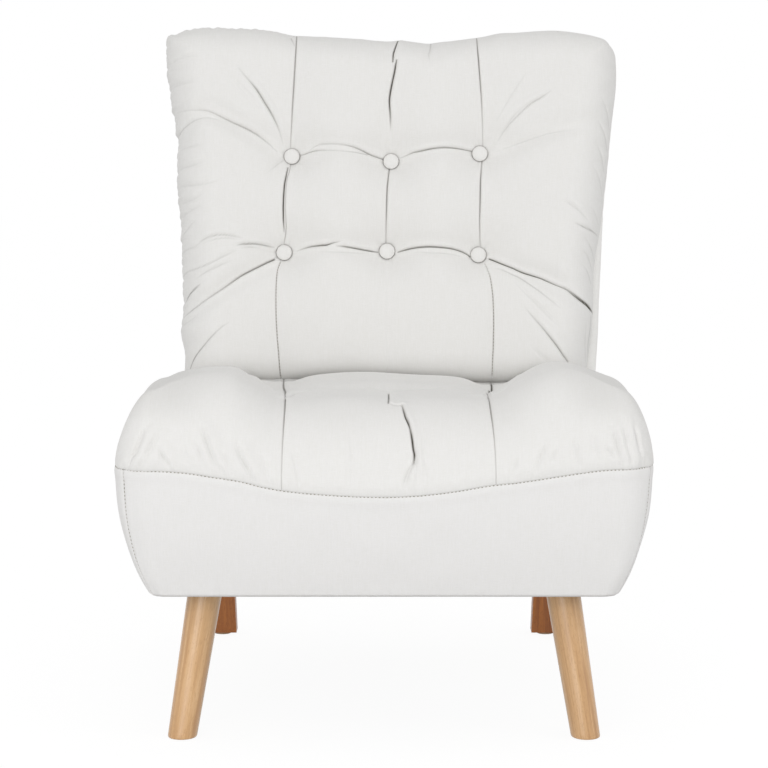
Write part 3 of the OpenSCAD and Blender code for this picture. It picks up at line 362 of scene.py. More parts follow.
def back_grid(cols, rows):
    """Plan of the back cushion: columns follow the vertical seams, rows follow the rows of buttons."""
    roll = even(SHELL_T + CUSHION_T - RIM_N, BACK_ROLL)
    # the edges, seams and rows as if they were straight
    stops = [-300, -138, 8, 140, 320]
    levels = [CUSHION_LOW, 350, 505, 685]
    lo, hi = stops[0], stops[-1]
    c = spaced(lo, hi, cols,
               lambda p: 0.8 * roll(np.minimum(p - lo, hi - p)) + close_to(p, stops[1:4], 1.2, 5))
    r = spaced(levels[0], levels[3], rows, lambda p: 0.8 * roll(levels[3] - p) + 0.5 * roll(p - levels[0])
               + close_to(p, levels[1:3], 0.8, 8))
    x = np.tile(c, (rows + 1, 1))
    w = np.tile(r[:, None], (1, cols + 1))
    x0, w0 = x, w
    # columns and rows bend each other, so their places are worked out anew until they settle
    for _ in range(6):
        edges = [LEFT_EDGE(w)] + [seam(w) for seam in BACK_SEAMS] + [RIGHT_EDGE(w)]
        for k in range(4):
            t = (x0 - stops[k]) / (stops[k + 1] - stops[k])
            x = np.where((t >= 0) & (t <= 1), edges[k] + (edges[k + 1] - edges[k]) * t, x)
        lines = [CUSHION_LOW - sag(x)] + [row(x) for row in ROWS] + [TOP_EDGE(x)]
        for k in range(3):
            t = (w0 - levels[k]) / (levels[k + 1] - levels[k])
            w = np.where((t >= 0) & (t <= 1), lines[k] + (lines[k + 1] - lines[k]) * t, w)
    return x, w


def round_corners(x, w):
    """Rounds the two top corners of the back's plan, draws its left edge and the left end of its top
    into small gathers, and gives the distance inside its edges."""
    left, right, top = LEFT_EDGE(w), RIGHT_EDGE(w), TOP_EDGE(x)
    left_r, right_r = 5.0, 22.0
    side_depth, side_in, top_depth, top_in = 1.7, 24, 1.4, 20
    side_fade = ease((w - 220) / 60) * (1 - ease((x - left) / side_in))
    top_fade = (1 - ease((top - w) / top_in)) * (1 - ease((x + 190) / 60))
    side_pull = side_depth * ripple(w, 61, (11, 17, 26, 39)) * side_fade
    top_pull = top_depth * ripple(x, 62, (11, 17, 26)) * top_fade
    out_x, out_w = x.copy(), w.copy()
    inside = np.minimum(np.minimum(x - left, right - x), top - w)
    for edge, way, r in ((left, -1, left_r), (right, 1, right_r)):
        p, q = way * (x - edge) + r, w - top + r
        corner = (p > 0) & (q > 0)
        m, e = np.maximum(p, q), np.maximum(np.hypot(p, q), 1e-9)
        out_x = np.where(corner, edge + way * (p * m / e - r), out_x)
        out_w = np.where(corner, top - r + q * m / e, out_w)
        inside = np.where(corner, r - m, inside)
    return out_x + side_pull, out_w - top_pull, inside


# Making pieces
def quads(rows, cols, first=0, wrap=False):
    """Faces of a grid of points, seen from the side where its rows go up and its columns go right."""
    i, j = np.mgrid[0 : rows - 1, 0 : cols - (0 if wrap else 1)]
    a, b = first + i * cols + j, first + i * cols + (j + 1) % cols
    return np.stack([a, b, b + cols, a + cols], -1).reshape(-1, 4)


def rim_of(rows, cols):
    """Places of the points round the rim of a grid, in the turn that its faces have."""
    g = np.arange(rows * cols).reshape(rows, cols)
    return np.concatenate([g[0, :-1], g[:-1, -1], g[-1, :0:-1], g[:0:-1, 0]])


def band(upper, lower):
    """Faces between two closed loops of points with as many points each."""
    return np.stack([np.roll(upper, -1), upper, lower, np.roll(lower, -1)], -1)


def make_piece(name, points, faces, material, uv=None, crease=None, replaces=(),
               smooth=True):
    """Makes a mesh from points in millimetres of the chair, and lets it ride on the chair. Crease is the
    shade painted at each point, from 0 to 1, which the linen mixes towards its shade tone."""
    pts = (np.asarray(points, float).reshape(-1, 3) - [0, MID_Y, 0]) * 0.001
    lists = [f for f in faces if len(f)]
    loops = np.concatenate([np.asarray(f).ravel() for f in lists]).astype(np.int32)
    sizes = np.concatenate([np.full(len(f), np.asarray(f).shape[1]) for f in lists]).astype(np.int32)
    mesh = bpy.data.meshes.new(name)
    mesh.vertices.add(len(pts))
    mesh.vertices.foreach_set("co", pts.astype(np.float32).ravel())
    mesh.loops.add(len(loops))
    mesh.loops.foreach_set("vertex_index", loops)
    mesh.polygons.add(len(sizes))
    mesh.polygons.foreach_set("loop_start", np.concatenate([[0], np.cumsum(sizes)[:-1]]).astype(np.int32))
    mesh.update(calc_edges=True)
    mesh.validate()
    mesh.polygons.foreach_set("use_smooth", np.full(len(mesh.polygons), smooth))
    if uv is not None:
        at = np.empty(len(mesh.loops), np.int32)
        mesh.loops.foreach_get("vertex_index", at)
        layer = mesh.uv_layers.new(name="cloth")
        layer.data.foreach_set("uv", (np.asarray(uv, np.float32).reshape(-1, 2) * 0.001)[at].ravel())
    # painted shade at each point, kept in the crease attribute
    painted_shade = np.zeros(len(pts)) if crease is None else np.asarray(crease)
    mark = mesh.attributes.new("crease", "FLOAT", "POINT")
    mark.data.foreach_set("value", painted_shade.astype(np.float32).ravel())
    mesh.materials.append(material)
    piece = bpy.data.objects.new(name, mesh)
    bpy.context.scene.collection.objects.link(piece)
    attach(piece, "root")
    if replaces:
        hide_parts(*replaces)
    return piece


def lengths(points):
    """Lengths along the rows and columns of a grid of points, as a cloth would be measured."""
    p = points
    across = np.zeros(p.shape[:2])
    along = np.zeros(p.shape[:2])
    across[:, 1:] = np.cumsum(np.linalg.norm(np.diff(p, axis=1), axis=-1), axis=1)
    along[1:] = np.cumsum(np.linalg.norm(np.diff(p, axis=0), axis=-1), axis=0)
    across -= across[:, across.shape[1] // 2][:, None]
    return across, along


def push(points, amount):
    """Moves a grid of points along its normals, which point out of its faces."""
    du = np.gradient(points, axis=1)
    dv = np.gradient(points, axis=0)
    n = np.cross(du, dv)
    n /= np.maximum(np.linalg.norm(n, axis=-1, keepdims=True), 1e-9)
    return points + n * amount[..., None]


def thick_sheet(outer, inner):
    """Points and faces of a closed sheet between an outer and an inner grid."""
    rows, cols = outer.shape[:2]
    n = rows * cols
    rim = rim_of(rows, cols)
    return (np.concatenate([outer.reshape(-1, 3), inner.reshape(-1, 3)]),
            [np.concatenate([quads(rows, cols), quads(rows, cols, n)[:, ::-1], band(rim, rim + n)])])


def sewn_sheet(name, outer, inner, painted_shade, material, node, inner_painted_shade=0.1):
    """Makes a sheet of cloth that takes a node's place: it is measured along its outer face, where
    painted_shade gives the shade painted at each place, and its inner face is painted a little darker as
    shade."""
    points, faces = thick_sheet(outer, inner)
    uv = np.concatenate([np.stack(lengths(outer), -1).reshape(-1, 2)] * 2)
    mark = np.concatenate([painted_shade.ravel(), np.full(painted_shade.size, inner_painted_shade)])
    return make_piece(name, points, faces, material, uv, mark, (node,))


def domed(grid, loops, hub):
    """Points and faces of a closed cushion: a grid, loops that follow its rim down, and a flat face."""
    rows, cols = grid.shape[:2]
    rim = rim_of(rows, cols)
    n, m = rows * cols, len(rim)
    rings = [rim] + [n + k * m + np.arange(m) for k in range(len(loops))]
    points = np.concatenate([grid.reshape(-1, 3)] + list(loops) + [np.array([hub], float)])
    fan = np.stack([np.roll(rings[-1], -1), rings[-1], np.full(m, len(points) - 1)], -1)
    bands = [band(a, b) for a, b in zip(rings[:-1], rings[1:])]
    return points, [np.concatenate([quads(rows, cols)] + bands), fan]


# Finishes
def linear(code):
    """Linear colour of an sRGB hex code."""
    c = np.array([int(code[k : k + 2], 16) for k in (1, 3, 5)]) / 255
    return tuple(np.where(c <= 0.04045, c / 12.92, ((c + 0.055) / 1.055) ** 2.4)) + (1.0,)


def finish_of(name):
    """New material with nodes, and its node tree holding only a shader and an output."""
    material = bpy.data.materials.new(name)
    material.use_nodes = True
    return material, material.node_tree


def add(tree, kind, settings=None, links=None):
    """Adds a node; settings are its properties or unlinked sockets, links are sockets of other nodes."""
    node = tree.nodes.new(kind)
    for key, value in (settings or {}).items():
        if isinstance(key, str) and hasattr(node, key):
            setattr(node, key, value)
        else:
            node.inputs[key].default_value = value
    for key, source in (links or {}).items():
        tree.links.new(source, node.inputs[key])
    return node


def ramp(tree, source, stops):
    """Adds a colour ramp over a value, from (place, hex colour) stops."""
    node = add(tree, "ShaderNodeValToRGB", links={"Fac": source})
    marks = node.color_ramp.elements
    while len(marks) < len(stops):
        marks.new(0.5)
    for mark, (place, code) in zip(marks, stops):
        mark.position, mark.color = place, linear(code)
    return node


def linen(name, tones):
    """Upholstery linen, plain woven from slubby yarns about 0.5 mm thick; drawn about twice as coarse
    so that it shows. It gives a matt face with fine mottled threads, mixed towards an olive painted shade
    wherever the crease attribute paints shade into seams, folds, crevices and hollows."""
    light, mean, dark = tones
    material, tree = finish_of(name)
    shader = tree.nodes["Principled BSDF"]
    place = add(tree, "ShaderNodeTexCoord").outputs["UV"]
    threads = []
    for stretch in ((90, 1300, 1), (1300, 90, 1)):
        lay = add(tree, "ShaderNodeMapping", {"Scale": stretch}, {"Vector": place})
        threads.append(add(tree, "ShaderNodeTexNoise", {"Scale": 1.0, "Detail": 3.0, "Roughness": 0.6},
                           {"Vector": lay.outputs["Vector"]}).outputs["Fac"])
    weave = add(tree, "ShaderNodeMath", {"operation": "MAXIMUM"}, {0: threads[0], 1: threads[1]}).outputs[0]
    lay = add(tree, "ShaderNodeMapping", {"Scale": (420, 26, 1)}, {"Vector": place})
    slub = add(tree, "ShaderNodeTexNoise", {"Scale": 1.0, "Detail": 2.0, "Roughness": 0.5},
               {"Vector": lay.outputs["Vector"]}).outputs["Fac"]
    tone = add(tree, "ShaderNodeMath", {"operation": "MULTIPLY_ADD", 1: 0.25}, {0: slub, 2: weave}).outputs[0]
    cloth = ramp(tree, tone, [(0.55, dark), (0.72, mean), (0.9, light)])
    # painted shade: the crease attribute mixes the cloth towards the olive shade tone
    mark = add(tree, "ShaderNodeAttribute", {"attribute_name": "crease"}).outputs["Fac"]
    both = add(tree, "ShaderNodeMix", {"data_type": "RGBA"}, {0: mark, 6: cloth.outputs["Color"]})
    both.inputs[7].default_value = linear(PAINTED_SHADE_TONE)
    tree.links.new(both.outputs[2], shader.inputs["Base Color"])
    bump = add(tree, "ShaderNodeBump", {"Strength": 0.22, "Distance": 0.0005}, {"Height": weave})
    tree.links.new(bump.outputs["Normal"], shader.inputs["Normal"])
    shader.inputs["Roughness"].default_value = 0.9
    shader.inputs["Sheen Weight"].default_value = 0.08
    shader.inputs["Sheen Roughness"].default_value = 0.5
    shader.inputs["Specular IOR Level"].default_value = 0.25
    return material


def timber(name, tones, turn, rough=0.42, coat=0.15):
    """Wood planed or turned along its grain: streaks along its length, fine dark pores and a satin
    lacquer. The turn lays the streaks along the piece."""
    light, mean, dark = tones
    material, tree = finish_of(name)
    shader = tree.nodes["Principled BSDF"]
    place = add(tree, "ShaderNodeTexCoord").outputs["Object"]
    lay = add(tree, "ShaderNodeMapping", {"Rotation": turn}, {"Vector": place})
    long = add(tree, "ShaderNodeMapping", {"Scale": (1.0, 1.0, 0.035)}, {"Vector": lay.outputs["Vector"]})
    streak = add(tree, "ShaderNodeTexNoise",
                 {"Scale": 150.0, "Detail": 5.0, "Roughness": 0.6, "Distortion": 0.6},
                 {"Vector": long.outputs["Vector"]}).outputs["Fac"]
    wood = ramp(tree, streak, [(0.3, dark), (0.5, mean), (0.72, light)])
    short = add(tree, "ShaderNodeMapping", {"Scale": (1, 1, 0.2)}, {"Vector": lay.outputs["Vector"]})
    pores = add(tree, "ShaderNodeTexNoise", {"Scale": 800.0, "Detail": 2.0},
                {"Vector": short.outputs["Vector"]}).outputs["Fac"]
    pore = add(tree, "ShaderNodeMath", {"operation": "GREATER_THAN", 1: 0.6}, {0: pores}).outputs[0]
    faint = add(tree, "ShaderNodeMath", {"operation": "MULTIPLY", 1: 0.4}, {0: pore}).outputs[0]
    both = add(tree, "ShaderNodeMix", {"data_type": "RGBA"}, {0: faint, 6: wood.outputs["Color"]})
    both.inputs[7].default_value = linear(dark)
    tree.links.new(both.outputs[2], shader.inputs["Base Color"])
    bump = add(tree, "ShaderNodeBump", {"Strength": 0.2, "Distance": 0.0003}, {"Height": streak})
    tree.links.new(bump.outputs["Normal"], shader.inputs["Normal"])
    shader.inputs["Roughness"].default_value = rough
    shader.inputs["Coat Weight"].default_value = coat
    shader.inputs["Coat Roughness"].default_value = 0.24
    return material


def grained(name, low, high, size, rough, metal=0.0, lift=0.0002, stretch=(1, 1, 1)):
    """Plain finish with an even small grain of a given size in millimetres, such as foam, felt or plated
    steel. It gives a face of nearly one colour that is rough or shiny as the real one is."""
    material, tree = finish_of(name)
    shader = tree.nodes["Principled BSDF"]
    place = add(tree, "ShaderNodeTexCoord").outputs["Object"]
    lay = add(tree, "ShaderNodeMapping", {"Scale": stretch}, {"Vector": place})
    grain = add(tree, "ShaderNodeTexNoise", {"Scale": 1000.0 / size, "Detail": 3.0, "Roughness": 0.6},
                {"Vector": lay.outputs["Vector"]}).outputs["Fac"]
    tone = ramp(tree, grain, [(0.35, low), (0.65, high)])
    tree.links.new(tone.outputs["Color"], shader.inputs["Base Color"])
    bump = add(tree, "ShaderNodeBump", {"Strength": 0.4, "Distance": lift}, {"Height": grain})
    tree.links.new(bump.outputs["Normal"], shader.inputs["Normal"])
    shader.inputs["Roughness"].default_value = rough
    shader.inputs["Metallic"].default_value = metal
    return material


# off-white linen, mixed towards an olive painted shade in seams, folds and crevices; the border that shows
# # beside the cushion is a shade lighter, which is painted light on that narrow side edge
PAINTED_SHADE_TONE = "#4A4638"
COVER = linen("linen_cover_woven_slub", ("#EDECEA", "#EAE9E7", "#E7E6E3"))
COVER_PAINTED_LIGHT = linen("linen_cover_border_right_painted_light", ("#FAF9F7", "#F8F7F4", "#F4F3F0"))
COVER_BASE = linen("linen_cover_base_woven_slub", ("#ECEBEA", "#EAE9E8", "#E7E6E4"))
# thread darker than the cloth: partly its own tone, partly painted shade of the needle holes beside each
# stitch
THREAD_WITH_HOLE_SHADE = grained("polyester_thread_twisted_painted_shade", "#8A8676", "#A5A090", 0.4, 0.6)

# honey beech in front, stained beech behind and raw pine inside, each with its grain along its length
SPLAY_BACK, SPLAY_OUT, RAKE_BACK = np.arctan2(32, LEG_H), np.arctan2(29, LEG_H), np.arctan2(62, LEG_H)
STAINED = ("#BB7332", "#A46026", "#834717")
PLANED = ("#E6CFA3", "#D9BC86", "#BF9A5F")
BEECH_LEFT = timber("beech_turned_lacquered_left", ("#E4BD8F", "#D5A976", "#BE9061"),
                    (SPLAY_BACK, -SPLAY_OUT, 0), coat=0.6)
BEECH_RIGHT = timber("beech_turned_lacquered_right", ("#DEB688", "#CDA16F", "#B6885A"),
                     (SPLAY_BACK, SPLAY_OUT, 0), coat=0.6)
PINE = timber("pine_planed", PLANED, (0, np.pi / 2, 0), rough=0.6, coat=0.0)
PINE_POST = timber("pine_planed_posts", PLANED, (-RAKE, 0, 0), rough=0.6, coat=0.0)
PINE_RAIL = timber("pine_planed_side_rails", PLANED, (np.pi / 2, 0, 0), rough=0.6, coat=0.0)

STEEL = grained("steel_zinc_plated", "#B9BDC0", "#CFD3D6", 0.8, 0.35, metal=1.0, lift=0.00005)
FOAM = grained("polyether_foam_cut", "#DCD3BE", "#EEE7D6", 1.5, 0.95, lift=0.0005)
FELT = grained("felt_pressed_fibres", "#8E8C88", "#B4B1AB", 2.0, 0.95, lift=0.0006, stretch=(1, 0.4, 1))
WEBBING = grained("webbing_woven_strap", "#4A4038", "#8C7B66", 1.6, 0.8, lift=0.0005, stretch=(0.2, 1, 1))
CAMBRIC = grained("cambric_spun_black", "#17171A", "#2A2A2D", 1.2, 0.9)
NYLON_BLACK = grained("nylon_moulded_black", "#1A1A1C", "#232326", 1.0, 0.45, lift=0.00005)
NYLON_WHITE = grained("nylon_moulded_white", "#E2E1DC", "#ECEBE6", 1.0, 0.45, lift=0.00005)
NYLON_TAN = grained("nylon_moulded_tan", "#A5886A", "#B39676", 1.0, 0.45, lift=0.00005)
HARDBOARD = grained("hardboard_pressed_fibres", "#6F4F33", "#8A6644", 1.5, 0.7)

OF_NODE = {"front_leg_left": BEECH_LEFT, "front_leg_right": BEECH_RIGHT, "leg_glides": NYLON_TAN,
           "rear_leg_left": timber("beech_stained_left", STAINED, (-RAKE_BACK, 0, 0)),
           "rear_leg_right": timber("beech_stained_right", STAINED, (-RAKE_BACK, 0, 0)),
           "back_post_left": PINE_POST, "back_post_right": PINE_POST,
           "side_rail_left": PINE_RAIL, "side_rail_right": PINE_RAIL}
OF_SLOT = {"pine": PINE, "foam": FOAM, "felt": FELT, "webbing": WEBBING, "black_cambric": CAMBRIC,
           "black_nylon": NYLON_BLACK, "white_nylon": NYLON_WHITE, "hardboard": HARDBOARD,
           "zinc_plated_steel": STEEL, "cover_fabric": COVER}
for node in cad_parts:
    thing = bpy.data.objects[node]
    for k, held in enumerate(list(thing.data.materials)):
        thing.material_slots[k].material = OF_NODE.get(node) or OF_SLOT[held.name]


# Seat cushion
# folds: points (place across, length from the front seam), depth, width, height of the lip, how much
# # shade is painted into it, and strengths along it
SEAT_FOLDS = [
    # the deep crease right of the middle, and the folds that run on from it
    ([(22, 135), (24, 121.6), (26.2, 107.8), (29.8, 95.7), (32.6, 81.4), (34.1, 70.9), (35.3, 58),
      (36.7, 49.2), (35.7, 37.9)],
     6, 1.5, 2.2, 0.95, (0.3, 0.6, 0.8, 0.9, 0.5, 0.9, 1, 0.9, 0.3)),
    ([(7.4, 137.4), (14, 133.4), (22.3, 133.1)],
     2.5, 1.6, 1.2, 0.22, (0.6, 0.6, 0.9)),
    ([(5.8, 203.2), (5.9, 161), (5.3, 139.3)],
     3, 1.1, 1, 0.75, (0.8, 1, 0.9)),
    ([(35.7, 37.9), (29.7, 31.1), (25.9, 21.6), (22.6, 11.8)],
     2.2, 2.2, 1.6, 0.14, (0.6, 1, 0.9, 0.2)),
    ([(37.5, 42.4), (32.6, 31), (28.7, 21.6), (26, 9.3)],
     1.6, 2.2, 1.2, 0.08, (0.6, 1, 0.9, 0.2)),
    ([(39.6, 83.1), (39.6, 55.6), (39.1, 30.9), (38.3, 11.7)],
     1.6, 2.6, 1.4, 0.06, (0, 1, 1, 0.2)),
    ([(45.1, 80.7), (47, 48.8), (50.4, 28.3), (53.6, 11.6)],
     1.4, 2.6, 1.2, 0.04, (0, 1, 1, 0.2)),
    # long soft folds of the middle panels
    ([(-43.5, 95.1), (-40.5, 55.6), (-39.9, 11.7)],
     1.2, 3.6, 1.2, 0.03, (0, 1, 0.4)),
    ([(-113.3, 54.7), (-109.1, 34.6), (-103.4, 8.5)],
     1.4, 2.6, 1.2, 0.06, (0, 1, 0.5)),
    ([(-87.6, 77.5), (-84.4, 42.6), (-82, 11.2)],
     0.9, 4, 0.8, 0, (0, 1, 0.4)),
    ([(-2.8, 86.2), (-3.2, 47.5), (-2.7, 14.3)],
     0.9, 4, 0.8, 0, (0, 1, 0.4)),
    ([(82.6, 65.7), (84.8, 36.1), (85.2, 13.5)],
     0.9, 4, 0.8, 0, (0, 1, 0.4)),
    # gathers of the left hump
    ([(-279.2, 63.5), (-292.6, 41.5), (-303.9, 17.4)],
     3.3, 3.1, 2.7, 0.04, (0, 1, 0.5)),
    ([(-265.6, 54.5), (-279.3, 29), (-292.8, 4.7)],
     3.6, 3.1, 3, 0.05, (0, 1, 0.6)),
    ([(-286.4, 44.4), (-297.9, 25.7), (-309.6, 6.8)],
     3, 2.9, 2.4, 0.04, (0, 1, 0.6)),
    ([(-271.7, 31), (-265.7, 17.7), (-257.6, 7)],
     3.3, 2.5, 2.4, 0.08, (0, 1, 0.6)),
    ([(-220.7, 64), (-214.3, 44.1), (-205.5, 22.6), (-194.6, 7.1)],
     3.9, 2.9, 3, 0.06, (0, 1, 1, 0.4)),
    ([(-229.7, 43.4), (-221, 24.6), (-214.4, 7)],
     2.7, 2.9, 2.2, 0.03, (0, 1, 0.5)),
    ([(-178.9, 50.3), (-172.4, 31.1), (-163.7, 16.2), (-157.1, 4.1)],
     3.6, 2.9, 2.7, 0.06, (0, 1, 1, 0.4)),
    ([(-198.9, 37.4), (-190.1, 22.5), (-181.3, 6.9)],
     2.7, 2.9, 2.2, 0.03, (0, 1, 0.5)),
    ([(-146.1, 41), (-142.2, 21.5), (-135.1, 3.7)],
     2.1, 3.1, 1.6, 0.02, (0, 1, 0.5)),
    ([(-244.9, 33.9), (-238.5, 19.4), (-229.8, 6.9)],
     2.1, 3.1, 1.6, 0.02, (0, 1, 0.5)),
    # gathers of the right hump
    ([(272.7, 58.3), (278.5, 31.9), (285.7, 7.7)],
     3.9, 2.9, 3, 0.06, (0, 1, 0.6)),
    ([(283.7, 67.7), (290.4, 38.4), (297.4, 7.8)],
     3.9, 3.1, 3.2, 0.06, (0, 1, 0.6)),
    ([(303.8, 51.3), (309.7, 34.9), (314.9, 20.7)],
     3.3, 2.9, 2.7, 0.05, (0, 1, 0.5)),
    ([(265.1, 30.6), (269, 23.2), (276.7, 13)],
     3, 2.5, 2.2, 0.06, (0, 1, 0.5)),
    ([(195, 47.2), (188.7, 29.7), (182.4, 14.4)],
     3, 2.9, 2.4, 0.05, (0, 1, 0.5)),
    ([(208.1, 35.9), (206, 28.3), (203.9, 17.9)],
     2.4, 2.8, 1.9, 0.04, (0, 1, 0.5)),
    ([(227.4, 42.9), (229.7, 28), (232, 9.8)],
     2.4, 2.9, 1.9, 0.03, (0, 1, 0.5)),
    ([(250.7, 49.3), (252.9, 30.2), (257.1, 12.4)],
     2.1, 3.1, 1.6, 0.02, (0, 1, 0.5)),
    ([(160.6, 37.1), (156.7, 23.7), (152.8, 8.2)],
     2.1, 2.9, 1.6, 0.02, (0, 1, 0.5)),
    # creases that run out from the side tufts
    ([(-121.3, 178.2), (-133.7, 201.7), (-145.6, 209.9), (-158.6, 219.2)],
     2.2, 3, 1, 0.06, (1, 0.8, 0.5, 0)),
    ([(-120.2, 176.7), (-111, 216.3), (-98.8, 237.3), (-83.1, 243.5)],
     3.4, 2.6, 1.8, 0.13, (1, 0.8, 0.5, 0)),
    ([(131.2, 192.2), (118.4, 185.9), (104.7, 195.2), (88.5, 208.4)],
     3.4, 2.6, 1.8, 0.13, (1, 0.8, 0.5, 0)),
    ([(132.1, 184.8), (145.2, 196.3), (157.3, 203.9), (170.4, 208.7)],
     2.2, 3, 1, 0.06, (1, 0.8, 0.5, 0)),
]


def seat_piece(cols=560, rows=440):
    """The seat cushion: a grid over its crown, whose folds are lines measured from the front seam,
    and a rim tucked behind the base's wall down to a flat underside."""
    x, y = seat_grid(cols, rows)
    p = np.stack(seat_points(x, y), -1)
    _, run = lengths(p)
    rise, dark = np.zeros_like(x), np.zeros_like(x)
    for line in SEAT_FOLDS:
        h, d = fold(x, run, *line)
        rise, dark = rise + h, np.maximum(dark, d)
    # sewn seams of the two side channels, nearly flush in front and deeper towards the tufts, with painted
    # # shade along each seam line and more painted shade in each channel behind the tufts, the right one
    # darker
    near_tuft = ease((run - 20) / 110)
    for seam, behind in ((SEAT_SEAMS[0], 0.35), (SEAT_SEAMS[2], 0.85)):
        d = x - seam(y)
        past_tuft = ease((y - TUFT_Y - 4) / 12)
        dark = np.maximum(dark, behind * past_tuft * bell(d, 0.8 + 0.8 * behind))
        dark = np.maximum(dark, (0.32 + 0.28 * near_tuft) * bell(d, 0.5))
        rise = rise - (0.9 + 0.9 * near_tuft) * bell(d, 0.9) + 1.0 * bell(np.abs(d) - 6, 5) * near_tuft
    # the crease across the tufts, which wanders a little and fades on the humps
    crease_depth, crease_width, wander = 2.0, 4, 3
    crease_y = TUFT_Y + wander * ripple(x, 5, (90, 47))
    rise = rise - crease_depth * bell(y - crease_y, crease_width) * (1 - ease((np.abs(x) - 205) / 60))
    # small pleats round the tufts, and painted shade at each tuft's centre
    pleats, pleat_depth, pleat_at, pleat_width = 7, 0.9, 16, 14
    for tx, ty, _ in TUFTS:
        r, angle = np.hypot(x - tx, y - ty), np.arctan2(y - ty, x - tx)
        rise = rise + pleat_depth * np.cos(pleats * angle + tx) * bell(r - pleat_at, pleat_width)
        dark = np.maximum(dark, 0.35 * bell(r, 3))
    # painted shade in the crevice under the back cushion
    dark = np.maximum(dark, 0.3 * bell(y - SEAT_BACK_Y - 2, 7) * (1 - ease((np.abs(x) - 262) / 26)))
    # the shade on the round outer tops of the humps
    high = ease((p[..., 2] - SEAM_Z - 45) / 40)
    dark = np.maximum(dark, 0.085 * high * ease((np.abs(x) - 205) / 60))
    # small puckers along the front seam and a soft swell above it
    rise = rise + 0.7 * ripple(x, 11, (17, 23, 31)) * bell(run - 8, 9) + 2.0 * bell(run - 10, 9)
    rise = rise + 1.0 * ripple(x, 3, (160, 97)) * ripple(y, 4, (140, 83)) * ease(run / 60)
    p = push(p, rise)
    rim = p.reshape(-1, 3)[rim_of(*x.shape)]
    depth = y.max()
    # the way out of the rim: sideways, forwards, or backwards along its rear line
    over_x = np.maximum(np.abs(rim[:, 0]) - (SEAT_W / 2 - CORNER_R), 0) * np.sign(rim[:, 0])
    over_y = np.minimum(rim[:, 1] - CORNER_R, 0) + np.maximum(rim[:, 1] - depth + 0.5, 0) * 100
    reach = np.maximum(np.hypot(over_x, over_y), 1e-9)
    loops = []
    for drop, inset in ((1.2, 0.9), (2.6, 3.4), (3.6, 8.0), (5.0, 14.0), (60.0, 15.0)):
        loop = rim - inset * np.stack([over_x / reach, over_y / reach, 0 * reach], -1)
        loop[:, 2] = np.maximum(rim[:, 2] - drop, SEAT_UNDER_Z)
        loops.append(loop)
    points, faces = domed(p, loops, (0, depth / 2, SEAT_UNDER_Z))
    tucked = len(points) - x.size
    uv = np.concatenate([np.stack([x, run], -1).reshape(-1, 2), points[x.size :, :2]])
    # the tucked rim and underside are painted a little darker as shade
    mark = np.concatenate([dark.ravel(), np.full(tucked, 0.06)])
    seat = make_piece("seat_cushion_cover", points, faces, COVER, uv, mark, ("seat_cushion",))
    return seat


# Back cushion
def back_face(x, w):
    """How far the face stands out: full panels between sewn valleys, pulled in at rows and buttons."""
    stops = [LEFT_EDGE(w)] + [seam(w) for seam in BACK_SEAMS] + [RIGHT_EDGE(w)]
    full = np.zeros_like(x)
    for k in range(4):
        t = np.clip((x - stops[k]) / (stops[k + 1] - stops[k]), 0, 1)
        here = (x >= stops[k]) & (x <= stops[k + 1])
        # the outer panels stay full up to the edge, where the roll begins
        if k == 0:
            t = 0.5 + 0.5 * t
        elif k == 3:
            t = 0.5 * t
        full = np.where(here, np.sin(np.pi * t) ** 0.7, full)
    # the valleys are shallower near the top, and the middle one also near the bottom
    valley_depth, row_depth, row_width = 13, 11, 17
    centre_low = bell(x - 3, 60) * (1 - ease((w - 300) / 60))
    valley = valley_depth * (1 - full) * (1 - 0.75 * centre_low) * (1 - 0.45 * ease((w - 590) / 80))
    n = SHELL_T + CUSHION_T - valley
    for row in ROWS:
        n = n - row_depth * bell(w - row(x), row_width) * (1 - 0.4 * ease((np.abs(x) - 230) / 60))
    # a steep dimple under each button in a wide soft one
    under, steep, wide = 9, 14, 40
    for bx, bw in BUTTONS:
        s = np.maximum(0, np.hypot(x - bx, w - bw) - under)
        pull = 0.62 * np.exp(-s / steep) + 0.38 * bell(s, wide)
        n = n - (n - (BUTTON_N - 1.5)) * pull
    return n


def back_level(x, w, inside):
    """How far the smooth face stands out, with its roll round the edges and under the bottom edge."""
    n = RIM_N + (back_face(x, w) - RIM_N) * roll_up(inside, BACK_ROLL)
    return n - UNDER_DEPTH * (1 - roll_up(w - CUSHION_LOW, UNDER_ROLL))


# where the back cushion rests on the seat: place across, place along the rake
CONTACT = curve([(-300, 186), (-272, 192.7), (-241, 197.6), (-216, 196.9), (-196, 193.4), (-165, 180),
                 (-141, 179.4), (-106, 185.4),
                 (-60, 189.9), (8, 188.5), (63, 184.3), (98, 181.5), (123, 177.3), (149, 173.1),
                 (170, 174.5), (191, 187),
                 (213, 199), (235, 204), (277, 199), (310, 190)])


# the two topstitched seams below the outer buttons
LOW_SEAMS = {
    "left": [(-146.7, 349.4), (-150.5, 336.6), (-151.6, 321), (-151.9, 291.7), (-151.3, 263.1),
             (-149.5, 234.8), (-147.6, 213.6), (-145.4, 184.1)],
    "right": [(142.6, 347.3), (146.5, 336.8), (149.7, 325.8), (151.5, 313.7), (153, 298.9),
              (153.9, 277.3), (154.1, 256), (153.4, 227.8), (152.3, 206.7), (151.9, 185.4)],
}
